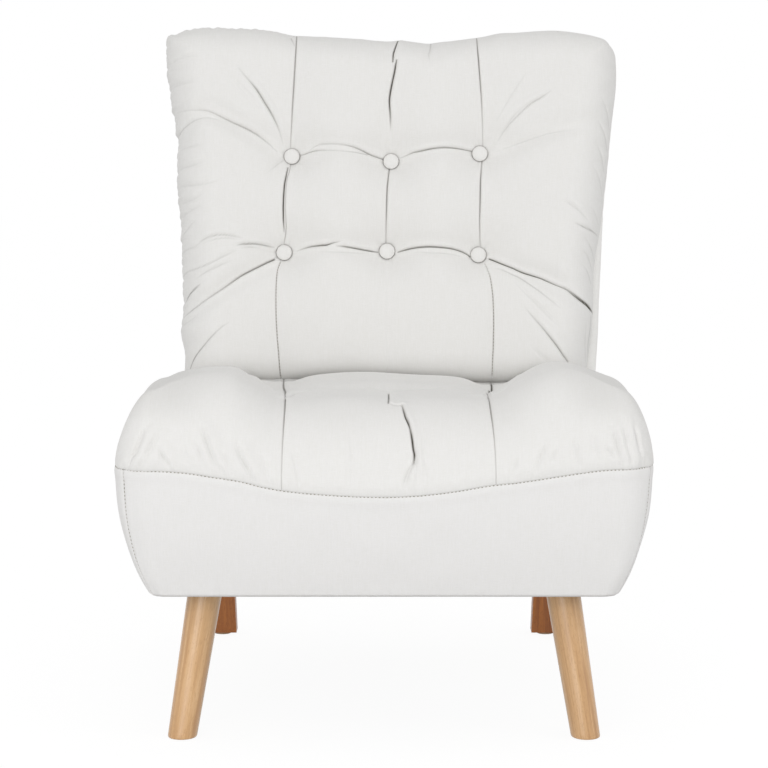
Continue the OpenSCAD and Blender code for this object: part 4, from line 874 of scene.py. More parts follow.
# folds of the back: points (place across, place along the rake), and then what a fold of the seat has
BACK_FOLDS = [
    # seams from the top edge to the upper buttons
    ([(-125.5, 690.2), (-125.1, 654.9), (-127, 614), (-129.1, 577.8), (-131.1, 542.9), (-133.2, 514.4)],
     4, 0.9, 1.2, 0.55, (0.8, 0.8, 0.75, 0.7, 0.5, 0.35)),
    ([(-132.2, 688), (-129.6, 681.3)],
     2, 1.4, 0.6, 0.7, (1, 0.6)),
    ([(-133, 672.4), (-127.2, 657.4)],
     1.5, 1.4, 0.6, 0.3, (1, 0.3)),
    ([(22.4, 682.8), (17.2, 660.4), (13.5, 645.7), (12.5, 632.9)],
     5, 1.2, 1.2, 0.95, (0.7, 0.9, 1, 0.6)),
    ([(17.9, 635.3), (15.6, 621.3), (12.8, 608.3), (9.7, 592.3), (7.8, 578), (8.5, 563.7), (9.2, 552.3),
      (9.5, 535.7)],
     5, 1.3, 1.4, 0.95, (0.6, 1, 1, 1, 0.9, 0.7, 0.35, 0.05)),
    ([(68.3, 678.3), (65.6, 652.8), (63.3, 643), (64.5, 632.5)],
     2.5, 2, 1.2, 0.3, (0.9, 0.8, 0.6, 0.1)),
    ([(133.1, 685.8), (133.2, 653.8), (134.7, 628.7), (136.3, 606.8), (137.9, 585.2), (139, 563.8),
      (140, 543.1), (140.8, 516)],
     4, 0.9, 1.2, 0.6, (0.7, 0.8, 0.9, 0.8, 0.7, 0.5, 0.4, 0.3)),
    # arcs between the upper buttons, the left one doubled
    ([(-106.6, 507.3), (-99.4, 512.1), (-90.8, 514.9), (-80.8, 515.1), (-62.3, 513.8), (-45.3, 511.2),
      (-31.2, 506.4), (-19.9, 501.8), (-8.5, 498.8), (0, 497.1)],
     3.5, 1.3, 1.8, 0.5, (0.1, 0.3, 0.4, 0.35, 0.4, 0.6, 0.8, 1, 0.9, 0.8)),
    ([(-121.2, 502.9), (-113.9, 503.6), (-105.2, 505.8), (-93.6, 507), (-76.5, 505.9), (-55.2, 504),
      (-36.8, 502.7), (-24.1, 501.3)],
     2.5, 1.2, 1, 0.42, (0.6, 0.9, 0.7, 0.4, 0.35, 0.4, 0.5, 0.6)),
    ([(22.8, 498.8), (31.3, 501.2), (41.2, 504.4), (51.1, 505.7), (65.2, 508.1), (79.3, 509.9),
      (93.6, 510.5), (110.9, 509.8), (125.4, 508.8)],
     3.5, 1.2, 1.8, 0.6, (0.15, 0.5, 0.9, 1, 0.9, 0.9, 0.9, 0.8, 0.7)),
    # seams between the rows of buttons, the left one doubled
    ([(-136.7, 484.5), (-139.1, 469.4), (-140.9, 456.9), (-142.1, 434.6), (-142.3, 413.3),
      (-141.8, 399.6), (-141.1, 390.3)],
     5, 1.2, 1.4, 0.85, (0.6, 0.9, 1, 1, 1, 0.8, 0.2)),
    ([(-132.6, 489.7), (-135, 476.1), (-137.6, 464.8), (-139.1, 441.7), (-139.3, 420.1),
      (-138.3, 399.5), (-139.3, 387.7), (-141.8, 376.1)],
     3, 0.9, -0.8, 0.5, (0.6, 0.7, 0.6, 0.5, 0.5, 0.6, 0.8, 0.5)),
    ([(7.6, 483.9), (6.1, 468.7), (4.5, 449.6), (3.7, 420.3), (3.1, 399.7), (2.8, 376.2)],
     4, 0.9, 1.2, 0.6, (0.7, 0.9, 0.8, 0.7, 0.5, 0.4)),
    ([(139.8, 494), (138.2, 480.7), (136.7, 461.4), (136, 434.5), (135.2, 406.2), (135.7, 386),
      (136.7, 371.8)],
     4, 0.9, 1.2, 0.6, (0.6, 0.8, 0.9, 0.8, 0.7, 0.5, 0.4)),
    # arcs between the lower buttons
    ([(-124.8, 363.9), (-114.6, 366.8), (-103.1, 369), (-90.3, 369.9), (-80.4, 370.3), (-71.9, 372.6),
      (-60.6, 374.8)],
     4, 1.3, 1.8, 0.8, (0.1, 0.4, 0.7, 0.9, 1, 0.5, 0.05)),
    ([(-67.7, 368.4), (-56.4, 367.7), (-43.8, 366.3), (-31.1, 364.9), (-19.8, 363.9), (-8.5, 363.2)],
     4, 1.3, 1.8, 0.8, (0.1, 0.7, 0.9, 0.9, 0.9, 0.5)),
    ([(-93.1, 360.2), (-69, 359.4), (-40.9, 359.1), (-17, 359.9)],
     1.2, 2.2, 0.6, 0.1, (0.1, 1, 1, 0.3)),
    ([(19.8, 363.1), (29.7, 365.2), (41, 366.8), (52.2, 367.6), (64.9, 367.8), (80.4, 367), (94.6, 366),
      (107.5, 363.5), (116.2, 360.4), (122, 356.8)],
     4.5, 1.3, 1.9, 0.8, (0.6, 0.9, 0.9, 0.9, 1, 0.9, 0.9, 0.8, 0.8, 0.8)),
    ([(36.7, 360.7), (64.8, 359), (93.1, 357.8), (110.4, 355.1)],
     1.2, 2.2, 0.6, 0.1, (0.1, 1, 1, 0.3)),
    # thin seams below the buttons
    (LOW_SEAMS["left"],
     2, 0.7, 0.6, 0.22, (0.7, 0.8, 0.9, 0.9, 0.9, 0.9, 1, 1)),
    (LOW_SEAMS["right"],
     2, 0.7, 0.6, 0.22, (0.7, 0.8, 0.9, 0.9, 0.9, 0.9, 0.9, 0.9, 1, 1)),
    # folds from the lower right button to the right edge
    ([(149.6, 353.3), (158.6, 348.9), (168.2, 344), (180.7, 338.3), (194.6, 331.4), (208.5, 326.7),
      (221.1, 322.3), (233.6, 316.4), (244.7, 311.4), (256, 307)],
     5, 1.1, 2.6, 0.88, (1, 0.95, 0.85, 0.8, 0.9, 0.9, 0.75, 0.65, 0.5, 0.4)),
    ([(246, 310.6), (256, 307), (266, 299.7), (276.4, 292.9), (287.4, 287), (293.5, 282.5), (299.2, 279)],
     7, 1.9, 2.8, 1, (0, 0.3, 0.55, 0.7, 0.9, 1, 0.3)),
    ([(257, 307.4), (266.6, 301), (277, 294.2), (288, 288.3), (294, 283.8), (299.4, 280.4)],
     3, 1.2, 0, 1, (0, 0.3, 0.6, 0.9, 1, 0.2)),
    ([(157, 338.7), (168.1, 335.2), (180.5, 328.7), (191.5, 323.1), (205.2, 313), (219, 302.5),
      (232.7, 290.8), (246.6, 278.7)],
     2.2, 1.9, 1.6, 0.3, (0.2, 0.5, 0.7, 0.8, 0.7, 0.6, 0.4, 0.1)),
    ([(180.2, 320.1), (193.8, 304.9), (207.6, 290.4), (221.4, 276), (235.3, 261.7), (249.2, 249.1)],
     1.4, 3, 1.2, 0.08, (0, 0.5, 0.8, 0.8, 0.5, 0)),
    ([(196.4, 282), (207.4, 267.7), (219.9, 253.4), (232.3, 237.7), (242, 225), (250.5, 212.7),
      (257.9, 203.6)],
     3, 1.7, 1.8, 0.55, (0, 0.3, 0.5, 0.7, 0.9, 0.9, 0.8)),
    ([(204.4, 226.7), (215.4, 215.3), (228, 202.8)],
     1, 3, 1, 0.05, (0, 1, 0.8)),
    # folds from the lower left button to the left edge
    ([(-155.9, 352.5), (-166.9, 346.5), (-179.3, 339.2), (-191.8, 332.1), (-202.9, 325.4),
      (-216.8, 315.2), (-230.7, 305), (-244.7, 295.8), (-259, 286.5), (-272.6, 278.2), (-284.6, 271.7)],
     5, 1.3, 2.4, 0.8, (1, 0.9, 0.85, 0.85, 0.7, 0.5, 0.45, 0.4, 0.35, 0.4, 0.1)),
    ([(-258.8, 313.3), (-264.7, 309.7), (-270.8, 305.6), (-277.1, 299.7), (-282.9, 291.3)],
     3, 1.8, 1.8, 0.6, (0.2, 0.9, 1, 0.7, 0.1)),
    ([(-206.8, 368.6), (-198.5, 370.4), (-186, 371.8), (-175, 371.6), (-164.1, 370.3), (-155.9, 369.2)],
     3, 1.4, 1.8, 0.5, (0.2, 1, 1, 0.9, 0.8, 0.3)),
    ([(-201.2, 365.3), (-188.8, 366.7), (-175.1, 366.5)],
     1.2, 1.6, -0.8, 0.2, (0.2, 1, 0.2)),
    ([(-268.2, 366.3), (-259.1, 373.5), (-250.4, 377.7), (-240.4, 380.8), (-227.7, 382.5),
      (-213.8, 381.4), (-198.5, 378.8)],
     2.2, 2.2, 1.6, 0.22, (0.1, 0.6, 0.9, 1, 0.9, 0.7, 0.1)),
    ([(-254.7, 370.9), (-241.7, 375.1), (-223.5, 378.1), (-202.6, 376.5)],
     1.2, 2.2, 1, 0.12, (0.1, 1, 1, 0.2)),
    ([(-285.3, 332.5), (-277.8, 334.9), (-265, 336.2), (-251.6, 339.6), (-238.7, 345.3),
      (-224.7, 352.5), (-208.1, 360.7)],
     2.2, 2.2, 1.6, 0.24, (0.6, 0.8, 0.8, 0.8, 0.8, 0.6, 0.1)),
    ([(-266.4, 320.8), (-254.5, 327.8), (-240.1, 334.7), (-224.7, 341.8), (-213.6, 347.1)],
     1.6, 2.2, 1.2, 0.15, (0.1, 0.9, 1, 0.8, 0.1)),
    ([(-217.1, 259), (-229.6, 249.7), (-242.1, 237.8), (-252.1, 227), (-262.5, 216), (-268.7, 207.8),
      (-273.8, 197.9)],
     2.8, 1.8, 1.8, 0.5, (0.05, 0.3, 0.5, 0.6, 0.8, 1, 0.6)),
    # folds from the upper left button
    ([(-209.7, 629.2), (-202.6, 617.8), (-193.4, 607.1), (-180.5, 591.5), (-169.3, 573.8),
      (-159.5, 557.8), (-151.7, 542.3), (-147, 529.2), (-143.7, 516.6)],
     3.2, 1.6, 2.2, 0.5, (0, 0.25, 0.5, 1, 1, 1, 0.7, 0.3, 0.05)),
    ([(-217.4, 608.9), (-202.5, 593.2), (-186.9, 577.7), (-172.7, 560.9)],
     1.6, 3.4, 1.4, 0, (0, 1, 1, 0.1)),
    ([(-296.6, 566.3), (-281.5, 563.9), (-269.5, 563.3), (-249.9, 561.8), (-233.9, 555.6),
      (-214.5, 546), (-195.2, 537.5), (-179.3, 528.8), (-163.4, 517.1), (-152.3, 507.6)],
     3, 1.7, 2.2, 0.38, (0.1, 0.2, 0.35, 0.6, 0.8, 0.9, 0.95, 0.8, 0.5, 0.2)),
    ([(-293.5, 536), (-282, 542.6), (-269.7, 548.6), (-256.4, 551.5), (-242.2, 550.5), (-229.5, 547.3)],
     2, 2, 1.4, 0.2, (0.8, 0.9, 0.8, 0.7, 0.5, 0)),
    ([(-143.9, 494.9), (-156.6, 482.4), (-165.9, 472.8)],
     2, 2, 1.2, 0.15, (0.8, 0.8, 0.1)),
    # folds from the upper right button
    ([(159.6, 547.8), (172.3, 569.8), (185.2, 591), (202.7, 616.6)],
     1.5, 2.6, 1.4, 0.08, (0.2, 1, 1, 0.1)),
    ([(161.6, 521.3), (175.5, 540.3), (191.4, 556.4), (207.3, 570.8), (223.3, 580.2), (236.3, 589.2)],
     2.4, 2, 2, 0.24, (0.2, 0.7, 0.8, 0.9, 1, 0.2)),
    ([(166, 531.4), (185, 555.2), (201, 570.9)],
     1.2, 2.4, 1, 0.08, (0.2, 1, 0.2)),
    ([(169.2, 510.1), (191.5, 516.9), (214, 524.3), (239.4, 531.2), (271.2, 533.9)],
     2, 2.8, 1.8, 0.12, (0.4, 0.9, 1, 0.7, 0.05)),
    # gathers at the left edge
    ([(-290.1, 458.4), (-267.1, 454.9), (-245.2, 456.4), (-228.3, 463.6)],
     2, 2.5, 1.6, 0.1, (0.8, 1, 0.7, 0)),
    ([(-286.4, 433.8), (-267, 435.6), (-253.7, 442.6)],
     2, 2.5, 1.6, 0.08, (0.8, 1, 0)),
    ([(-286.4, 415.5), (-271.5, 420.8), (-256.5, 424.3)],
     2, 2.5, 1.6, 0.08, (0.8, 1, 0)),
    ([(-286.5, 388.8), (-274.6, 398.8), (-263.8, 406.7)],
     2.2, 2.3, 1.8, 0.13, (0.8, 1, 0)),
    ([(-286.8, 365.1), (-274.5, 367), (-259.1, 367.8)],
     2, 2.3, 1.6, 0.13, (0.8, 1, 0)),
    ([(-288.2, 259.5), (-274.2, 264.4), (-260.2, 272.1)],
     2.1, 2.5, 1.6, 0.08, (0.8, 1, 0)),
    ([(-300, 637.1), (-281.1, 639.2), (-262.1, 638.9)],
     1.8, 2.7, 1.6, 0.05, (0.8, 1, 0)),
    ([(-302.4, 602.8), (-284.2, 601.7), (-266.2, 601.8)],
     1.8, 2.7, 1.6, 0.05, (0.8, 1, 0)),
    ([(-292.2, 511.2), (-275.2, 511.5), (-255.6, 511.3)],
     1.8, 2.5, 1.6, 0.08, (0.8, 1, 0)),
    ([(-290.1, 484), (-271.9, 483.6), (-251.1, 488.1)],
     1.8, 2.5, 1.6, 0.08, (0.8, 1, 0)),
    # gathers at the right edge
    ([(250.6, 433.4), (261.8, 426.3), (276.2, 417.2), (288.3, 406.3)],
     2, 2.3, 1.8, 0.1, (0, 1, 1, 0.5)),
    ([(268.8, 399.7), (279.1, 396.5), (291.6, 393.2), (304, 389.5)],
     3.3, 2, 2.4, 0.42, (0.1, 0.7, 1, 0.3)),
    ([(291.3, 427.8), (299.4, 418.6), (305, 405.7)],
     2, 2.3, 1.8, 0.08, (0, 1, 0.6)),
    ([(282.3, 383.1), (292, 371.5), (300.3, 353.6)],
     2.4, 2.3, 2.2, 0.13, (0, 1, 0.6)),
    ([(279.3, 364.6), (288.9, 355.5), (296.3, 337.4)],
     2.4, 2.3, 2.2, 0.13, (0, 1, 0.6)),
    ([(276.3, 344.5), (285.7, 337.9), (294.3, 319.4)],
     2.2, 2.3, 2, 0.11, (0, 1, 0.6)),
    ([(294.6, 274.6), (292.8, 254.2), (289.7, 232.7), (291.4, 209.1)],
     2.4, 2, 1.9, 0.19, (0.6, 1, 0.9, 0.7)),
    ([(286.3, 263.2), (284.1, 237.7), (285.9, 208.4)],
     2, 2.3, 1.9, 0.08, (0.3, 1, 0.7)),
    ([(306.7, 585.5), (318.3, 565.6), (322.9, 544)],
     2.2, 2.5, 2, 0.1, (0, 1, 0.8)),
    ([(302.6, 553.4), (313.7, 535.1), (319.2, 513.6)],
     2.4, 2.3, 2.2, 0.13, (0, 1, 0.8)),
    ([(299, 520.7), (308.6, 501.9), (314.3, 481)],
     2.2, 2.3, 2, 0.1, (0, 1, 0.8)),
    ([(294.3, 484.5), (305.7, 469.2), (311.6, 447.2)],
     2.1, 2.3, 1.9, 0.08, (0, 1, 0.8)),
]


def back_piece(cols=620, rows=560):
    """The back cushion: a grid over its face in the raked plane, with doubled seams, arcs, folds and drag
    lines, and a rim that turns in to a flat rear."""
    x, w, inside = round_corners(*back_grid(cols, rows))
    rise, dark = np.zeros_like(x), np.zeros_like(x)
    for line in BACK_FOLDS:
        h, d = fold(x, w, *line)
        rise, dark = rise + h, np.maximum(dark, d)
    # the shade where the cushion rests on the seat, which is faint beside the humps
    humps = ease((np.abs(x - 15) - 150) / 75)
    dark = np.maximum(dark, 0.32 * (1 - 0.8 * humps) * np.exp(-np.maximum(w - CONTACT(x), 0) / 5))
    # small pleats round the buttons, and a thin line of painted shade under each rim
    pleats, pleat_depth, pleat_from, pleat_fade = 9, 0.8, 12, 14
    for k, (bx, bw) in enumerate(BUTTONS):
        r, angle = np.hypot(x - bx, w - bw), np.arctan2(w - bw, x - bx)
        fade = np.exp(-np.maximum(r - pleat_from, 0) / pleat_fade) * ease((r - 10) / 4)
        rise = rise + pleat_depth * np.cos(pleats * angle + 1.3 * k) * fade
        dark = np.maximum(dark, 0.5 * bell(r - 10.8, 1.2))
    # gathers round the edge, and a faint unevenness everywhere
    edge = np.where(inside < 60, bell(inside - 8, 16), 0)
    along = np.where(np.abs(x) > 250, w, x)
    rise = rise + (0.9 * ripple(along, 21, (19, 27, 35)) + 1.2 * ripple(along, 22, (28, 41))) * edge
    rise = rise + 1.2 * ripple(x, 7, (150, 88)) * ripple(w, 8, (130, 71)) * ease(inside / 50)
    n = back_level(x, w, inside) + rise * ease(inside / 6)
    # loops behind the rim: how far out each lies, and how far inside the rim
    rim = rim_of(*x.shape)
    rx, rw = x.ravel()[rim], w.ravel()[rim]
    hub_x, hub_w, rear_n = 5.0, 430.0, 68.4
    way_x = np.clip(np.abs(rx - hub_x) / 300, 0, 1) * np.sign(rx - hub_x)
    way_w = np.where(rw < CUSHION_LOW + 1, 0, np.clip((rw - hub_w) / 250, 0, 1))
    loops = [back_to_chair(rx - inset * way_x, rw - inset * way_w, np.full_like(rx, out))
             for out, inset in ((78, -0.8), (74, 0.3), (70, 2.6), (rear_n, 6.0))]
    hub = back_to_chair(np.array(hub_x), np.array(hub_w), np.array(rear_n))
    points, faces = domed(back_to_chair(x, w, n), loops, hub)
    tucked = len(points) - x.size
    uv = np.concatenate([np.stack([x, w], -1).reshape(-1, 2), points[x.size :, [0, 2]]])
    # the loops behind the rim are painted a little darker as shade
    mark = np.concatenate([dark.ravel(), np.full(tucked, 0.15)])
    back = make_piece("back_cushion_cover", points, faces, COVER, uv, mark, ("back_cushion",))
    return back


def button_piece(rings=14, around=40):
    """Six covered buttons: a dome over a round edge, its cover gathered in small pleats under the rim."""
    r, rim, dome_high, edge_high, pleats = BUTTON_D / 2, 0.75, 5, 2, 18
    s = np.linspace(0, 1, rings)[:, None]
    a = np.linspace(0, 2 * np.pi, around, endpoint=False)[None, :]
    swell = np.pi / 2 * np.minimum(s / rim, 1)
    under = (s - rim) / (1 - rim)
    rad = np.where(s < rim, r * np.sin(swell), r * (1 - 0.25 * under))
    high = edge_high + dome_high * np.where(s < rim, np.cos(swell) ** 0.8, -under)
    rad = rad + 0.15 * np.cos(pleats * a) * ease((s - 0.6) / 0.2)
    # painted shade: the cover darkens under its rim, towards the dimple
    painted_shade = 0.5 * ease((s - 0.72) / 0.2) + 0 * a
    points, faces, uv = [], [], []
    for k, (bx, bw) in enumerate(BUTTONS):
        px, pw = bx - rad * np.cos(a), bw + rad * np.sin(a)
        points.append(back_to_chair(px, pw, BUTTON_N + high + 0 * a).reshape(-1, 3))
        faces.append(quads(rings, around, k * rings * around, wrap=True)[:, ::-1])
        uv.append(np.stack([px, pw], -1).reshape(-1, 2))
    return make_piece("back_button_covers", np.concatenate(points), [np.concatenate(faces)], COVER,
                      np.concatenate(uv), np.tile(painted_shade.ravel(), len(BUTTONS)), ("back_buttons",))


# Shell of the back
# its left side stays behind the cushion, its right side shows beyond it
SHELL_LEFT = curve([(150, -289), (206, -286), (260, -285), (330, -286), (450, -291), (540, -295),
                    (603, -305), (642, -310),
                    (700, -313)])
SHELL_RIGHT = curve([(150, 300), (212, 304.5), (258, 307.8), (305, 309.8), (351, 312.5), (398, 315),
                     (445, 317.8), (492, 323),
                     (540, 328), (587, 332.7), (635, 336.4), (672, 335.8), (700, 334)])
POST_N, PAD_N, POST_TOP_W = 6.6, 59.0, 656.0
LOW_W = (SEAM_Z + 0.6 - LEG_H) / np.cos(RAKE)


def shell_path(side=90, turn=14, top=150):
    """Outline of the back's shell: up the left side, round a corner, along the top, and down the right side.
    Gives places (x, w) and the unit direction out of the outline at each, and where its parts meet."""
    left_r, right_r, start = 26.0, 38.0, LOW_W - 18
    w_left, w_right = TOP_EDGE(-300.0) - left_r, TOP_EDGE(310.0) - right_r
    x_left, x_right = SHELL_LEFT(w_left) + left_r, SHELL_RIGHT(w_right) - right_r
    up, down = np.linspace(start, w_left, side), np.linspace(w_right, start, side)
    a = np.linspace(np.pi, np.pi / 2, turn)[1:-1]
    b = np.linspace(np.pi / 2, 0, turn)[1:-1]
    xt = np.linspace(x_left, x_right, top)
    lift_left, lift_right = TOP_EDGE(x_left) - w_left, TOP_EDGE(x_right) - w_right
    x = np.concatenate([SHELL_LEFT(up), x_left + left_r * np.cos(a), xt, x_right + right_r * np.cos(b),
                        SHELL_RIGHT(down)])
    w = np.concatenate([up, w_left + lift_left * np.sin(a), TOP_EDGE(xt), w_right + lift_right * np.sin(b),
                        down])
    dx, dw = np.gradient(x), np.gradient(w)
    size = np.hypot(dx, dw)
    marks = (0, side + turn // 2, side + turn + top - turn // 2, len(x) - 1)
    return x, w, -dw / size, dx / size, marks


# section of the border: points (out from the outline, out from the rear face)
BORDER = np.array([(0, 0.3), (1.2, 8), (2.2, 20), (2.6, 34), (2.0, 46), (0, 55), (-4, 62), (-10, 66.2),
                   (-18, 67.9), (-30, 68), (-44, 68)])


def border_profile(count=46):
    """Section of the border strip: a crowned side that turns over the front edge of the shell."""
    k = np.arange(len(BORDER))
    q = np.linspace(0, len(BORDER) - 1, count)
    return curve(np.stack([k, BORDER[:, 0]], 1))(q), curve(np.stack([k, BORDER[:, 1]], 1))(q)


def border_piece(name, node, part, material):
    """Cover of one side of the shell's border, with turned edges where it meets its neighbours."""
    x, w, ox, ow, marks = shell_path()
    lo, hi = marks[part], marks[part + 1]
    x, w, ox, ow = (v[lo : hi + 1][None, :] for v in (x, w, ox, ow))
    d, n = (v[:, None] for v in border_profile())
    run = np.concatenate([[0], np.cumsum(np.hypot(np.diff(x[0]), np.diff(w[0])))])[None, :]
    turn = 2.2
    turned = turn * ((part > 0) * bell(run, turn) + (part < 2) * bell(run[0, -1] - run, turn))
    pucker = 0.5 * ripple(run, 31 + part, (37, 53, 71)) * bell(n - 66, 16)
    pucker = pucker + 0.9 * ripple(run, 71 + part, (15, 23, 34)) * bell(n - 60, 22) * ease((w - 330) / 120)
    d = d - turned + pucker
    under, under_n = d - COVER_T, np.minimum(n + 0 * x, SHELL_T - COVER_T) + np.where(n < 2, 0.4, 0)
    outer = back_to_chair(x + ox * d, w + ow * d, n + 0 * x)
    inner = back_to_chair(x + ox * under, w + ow * under, under_n)
    # the low ends stay above the base's wall
    for grid in (outer, inner):
        grid[..., 2] = np.maximum(grid[..., 2], SEAM_Z + SEAT_GAP)
    # painted shade in the seams where the strip turns in to meet its neighbours
    painted_shade = 0.35 * bell(turned / turn - 1, 0.25) + 0 * d
    return sewn_sheet(name, outer[:, ::-1], inner[:, ::-1], painted_shade[:, ::-1], material, node)


def rear_outline(w, sunk=0.0):
    """Left and right edge of the rear cover: it follows the base, then the waist of the shell. A layer that
    is sunk lies that much under the top of the base's corners."""
    z = LEG_H + w * np.cos(RAKE)
    base = half_at(z)
    shoulder = ease((w - LOW_W + 2 + sunk) / 7)
    left = -base + (SHELL_LEFT(w) + base) * shoulder
    right = base + (SHELL_RIGHT(w) - base) * shoulder
    return left, right


def layer_plan(cols, rows, low, inset=0.0, left_at=None, right_at=None, sunk=0.0):
    """Plan of a flat layer inside the outline of the shell: a grid from its left to its right edge and from
    a low line to the top edge, with round top corners, and the distance inside its edges."""
    corner_r, waist = 24.0, 0.232
    t = spaced(0, 1, cols, lambda p: 1 + close_to(p, [0, 1], 6, 0.02))[None, :]
    s = spaced(0, 1, rows,
               lambda p: 1 + close_to(p, [0, 1], 6, 0.01) + close_to(p, [waist], 10, 0.01))[:, None]
    x, w = -320 + 640 * t + 0 * s, low + (690 - low) * s + 0 * t
    # the edges depend on the places, so these are worked out anew until they settle
    for _ in range(4):
        left, right = rear_outline(w, sunk)
        left, right = left + inset, right - inset
        left = left if left_at is None else left_at + 0 * left
        right = right if right_at is None else right_at + 0 * right
        x = left + (right - left) * t
        top = TOP_EDGE(x) - 0.5 - inset
        w = low + (top - low) * s
    r = corner_r - inset
    px = np.where(x < 0, left + r - x, x - right + r)
    pw = w - top + r
    free = ((x < 0) & (left_at is None)) | ((x > 0) & (right_at is None))
    corner = (px > 0) & (pw > 0) & free
    m, e = np.maximum(px, pw), np.maximum(np.hypot(px, pw), 1e-9)
    x = np.where(corner, x + np.where(x < 0, px - px * m / e, px * m / e - px), x)
    w = np.where(corner, w + pw * m / e - pw, w)
    inside = np.minimum(np.minimum(x - left, right - x), np.minimum(top - w, w - low + 4))
    return x, w, np.where(corner, r - m, inside)


def rear_piece():
    """Rear cover of the back: one flat panel drawn tight, a little crowned, with turned and sewn edges."""
    x, w, inside = layer_plan(130, 190, 0.2)
    crown, turn, turn_width = 3.5, 2.4, 3.0
    n = 0.2 - crown * ease(inside / 160) + turn * bell(inside, turn_width)
    n = n - 0.4 * ripple(x, 41, (210, 130)) * ripple(w, 42, (190, 115)) * ease(inside / 40)
    outer, inner = back_to_chair(x, w, n), back_to_chair(x, w, n + PANEL_T)
    # painted shade along the turned and sewn edges
    painted_shade = 0.3 * bell(inside, 1.5)
    return sewn_sheet("back_rear_panel", outer[:, ::-1], inner[:, ::-1], painted_shade[:, ::-1], COVER,
                      "back_rear_cover")


def layer_piece(name, node, material, n0, n1, low, inset, left_at=None, right_at=None, sunk=0.0):
    """Board or foam slab cut to the outline of the shell, some way inside it, between two depths."""
    x, w, _ = layer_plan(50, 70, low, inset, left_at, right_at, sunk)
    points, faces = thick_sheet(back_to_chair(x, w, n1), back_to_chair(x, w, n0))
    return make_piece(name, points, faces, material, replaces=(node,), smooth=False)


# Base
# where round the two front corners the base's seams run
SEAM_LEFT, SEAM_RIGHT = np.radians(47), np.radians(62)


def wall_point(t, z, inset=0.0):
    """Point of the base's wall: t runs 0 to 1 along the left side from the rear, 1 to 2 round the left
    corner, 2 to 3 along the front, 3 to 4 round the right corner and 4 to 5 back along the right side."""
    half, front = half_at(z), front_at(z)
    r = LOW_CORNER_R + (CORNER_R - LOW_CORNER_R) * ease((z - LEG_H) / WALL_H)
    rear, cy = rear_y(0.4, z), front + r
    a = np.where(t < 2.5, 2 - t, t - 3) * np.pi / 2
    turn_x, turn_y = (half - r) + (r - inset) * np.sin(a), cy - (r - inset) * np.cos(a)
    parts = [t < 1, t < 2, t <= 3, t <= 4]
    x = np.select(parts, [inset - half, -turn_x, (half - r) * (2 * (t - 2) - 1), turn_x], half - inset)
    y = np.select(parts, [rear + (cy - rear) * t, turn_y, front + inset, turn_y], cy + (rear - cy) * (t - 4))
    return x, y


T_LEFT, T_RIGHT = 2 - SEAM_LEFT / (np.pi / 2), 3 + SEAM_RIGHT / (np.pi / 2)


def wall_run(t):
    """Lengths along the wall's plan at the seam height."""
    x, y = wall_point(t, np.full_like(t, SEAM_Z))
    return np.concatenate([[0], np.cumsum(np.hypot(np.diff(x), np.diff(y)))])


def wall_piece(name, node, t0, t1, cols, seams, rows=110):
    """Border cover of the base: it follows the wall, turns in along its sewn edges, swells a little
    between them and is turned under at the bottom."""
    fine = np.linspace(t0, t1, 4001)
    run = wall_run(fine)
    total = run[-1]
    s = spaced(0, total, cols, lambda p: 1 + close_to(p, [0, total], 5, 4))
    t = np.interp(s, run, fine)[None, :]
    h = spaced(0, 1, rows, lambda p: 1 + close_to(p, [0, 1], 5, 0.03))[:, None]
    x_top, _ = wall_point(t, SEAM_Z + 0 * t)
    top, low = seam_at(x_top) - 0.4, LEG_H - HEM_DROP
    z = low + (top - low) * h
    from_top, from_low, along = top - z, z - low, s[None, :] + 0 * z
    sides = np.minimum(np.where(seams[0], s, 1e3), np.where(seams[1], total - s, 1e3))[None, :] + 0 * z
    # turned in at the edges, swelling beside them and between them, puckered along them, and a little uneven
    inset = 2.4 * bell(from_top, 1.8) + 1.6 * bell(sides, 1.4) + 2.4 * bell(from_low, 1.8)
    inset = inset - 0.8 * bell(from_top - 8, 6) - 0.6 * bell(sides - 7, 6)
    inset = inset - 1.2 * np.sin(np.pi * np.clip(h, 0, 1)) * ease(sides / 60)
    inset = inset - 0.35 * ripple(along, 51, (23, 31, 43)) * (bell(from_top - 6, 9) + bell(from_low - 5, 8))
    uneven = ripple(along, 52, (190, 120)) * ripple(z, 53, (110, 70))
    inset = inset - 0.6 * uneven * ease(np.minimum(from_top, from_low) / 20)
    outer = np.stack([*wall_point(t + 0 * z, z, inset), z], -1)
    inner = np.stack([*wall_point(t + 0 * z, z, np.maximum(inset, 0) + COVER_T), z], -1)
    # painted shade along the top seam, the corner seams and the turned hem
    painted_shade = np.maximum.reduce([0.14 * bell(from_top, 1.0), 0.2 * bell(sides, 0.9), 0.3 * bell(from_low, 1.2)])
    return sewn_sheet(name, outer, inner, painted_shade, COVER_BASE, node)


def deck_corner(way, side, cols=16, rows=36):
    """Cover of the deck behind the seat's rear corner: a small panel, drawn flat between the wall and the
    shell, with a slight swell along its middle."""
    lie, swell, play, tuck = 3, 1.6, 4, 18
    shell = np.abs((SHELL_LEFT if side < 0 else SHELL_RIGHT)(LOW_W)) - play
    wall = SEAT_W / 2 - COVER_T - 2
    across = side * (shell + (wall - shell) * np.linspace(0, 1, cols))[None, ::side]
    t = np.linspace(0, 1, rows)[:, None]
    z = SEAM_Z - lie + swell * np.sin(np.pi * t) + 0 * across
    y0, y1 = rear_y(SHELL_T + SEAT_GAP, SEAM_Z) - tuck, rear_y(3.4, z)
    outer = np.stack([across + 0 * t, y0 + (y1 - y0) * t, z], -1)
    points, faces = thick_sheet(outer, outer - [0, 0, PANEL_T])
    uv = np.concatenate([outer[..., :2].reshape(-1, 2)] * 2)
    return make_piece("deck_corner_" + way, points, faces, COVER_BASE, uv)


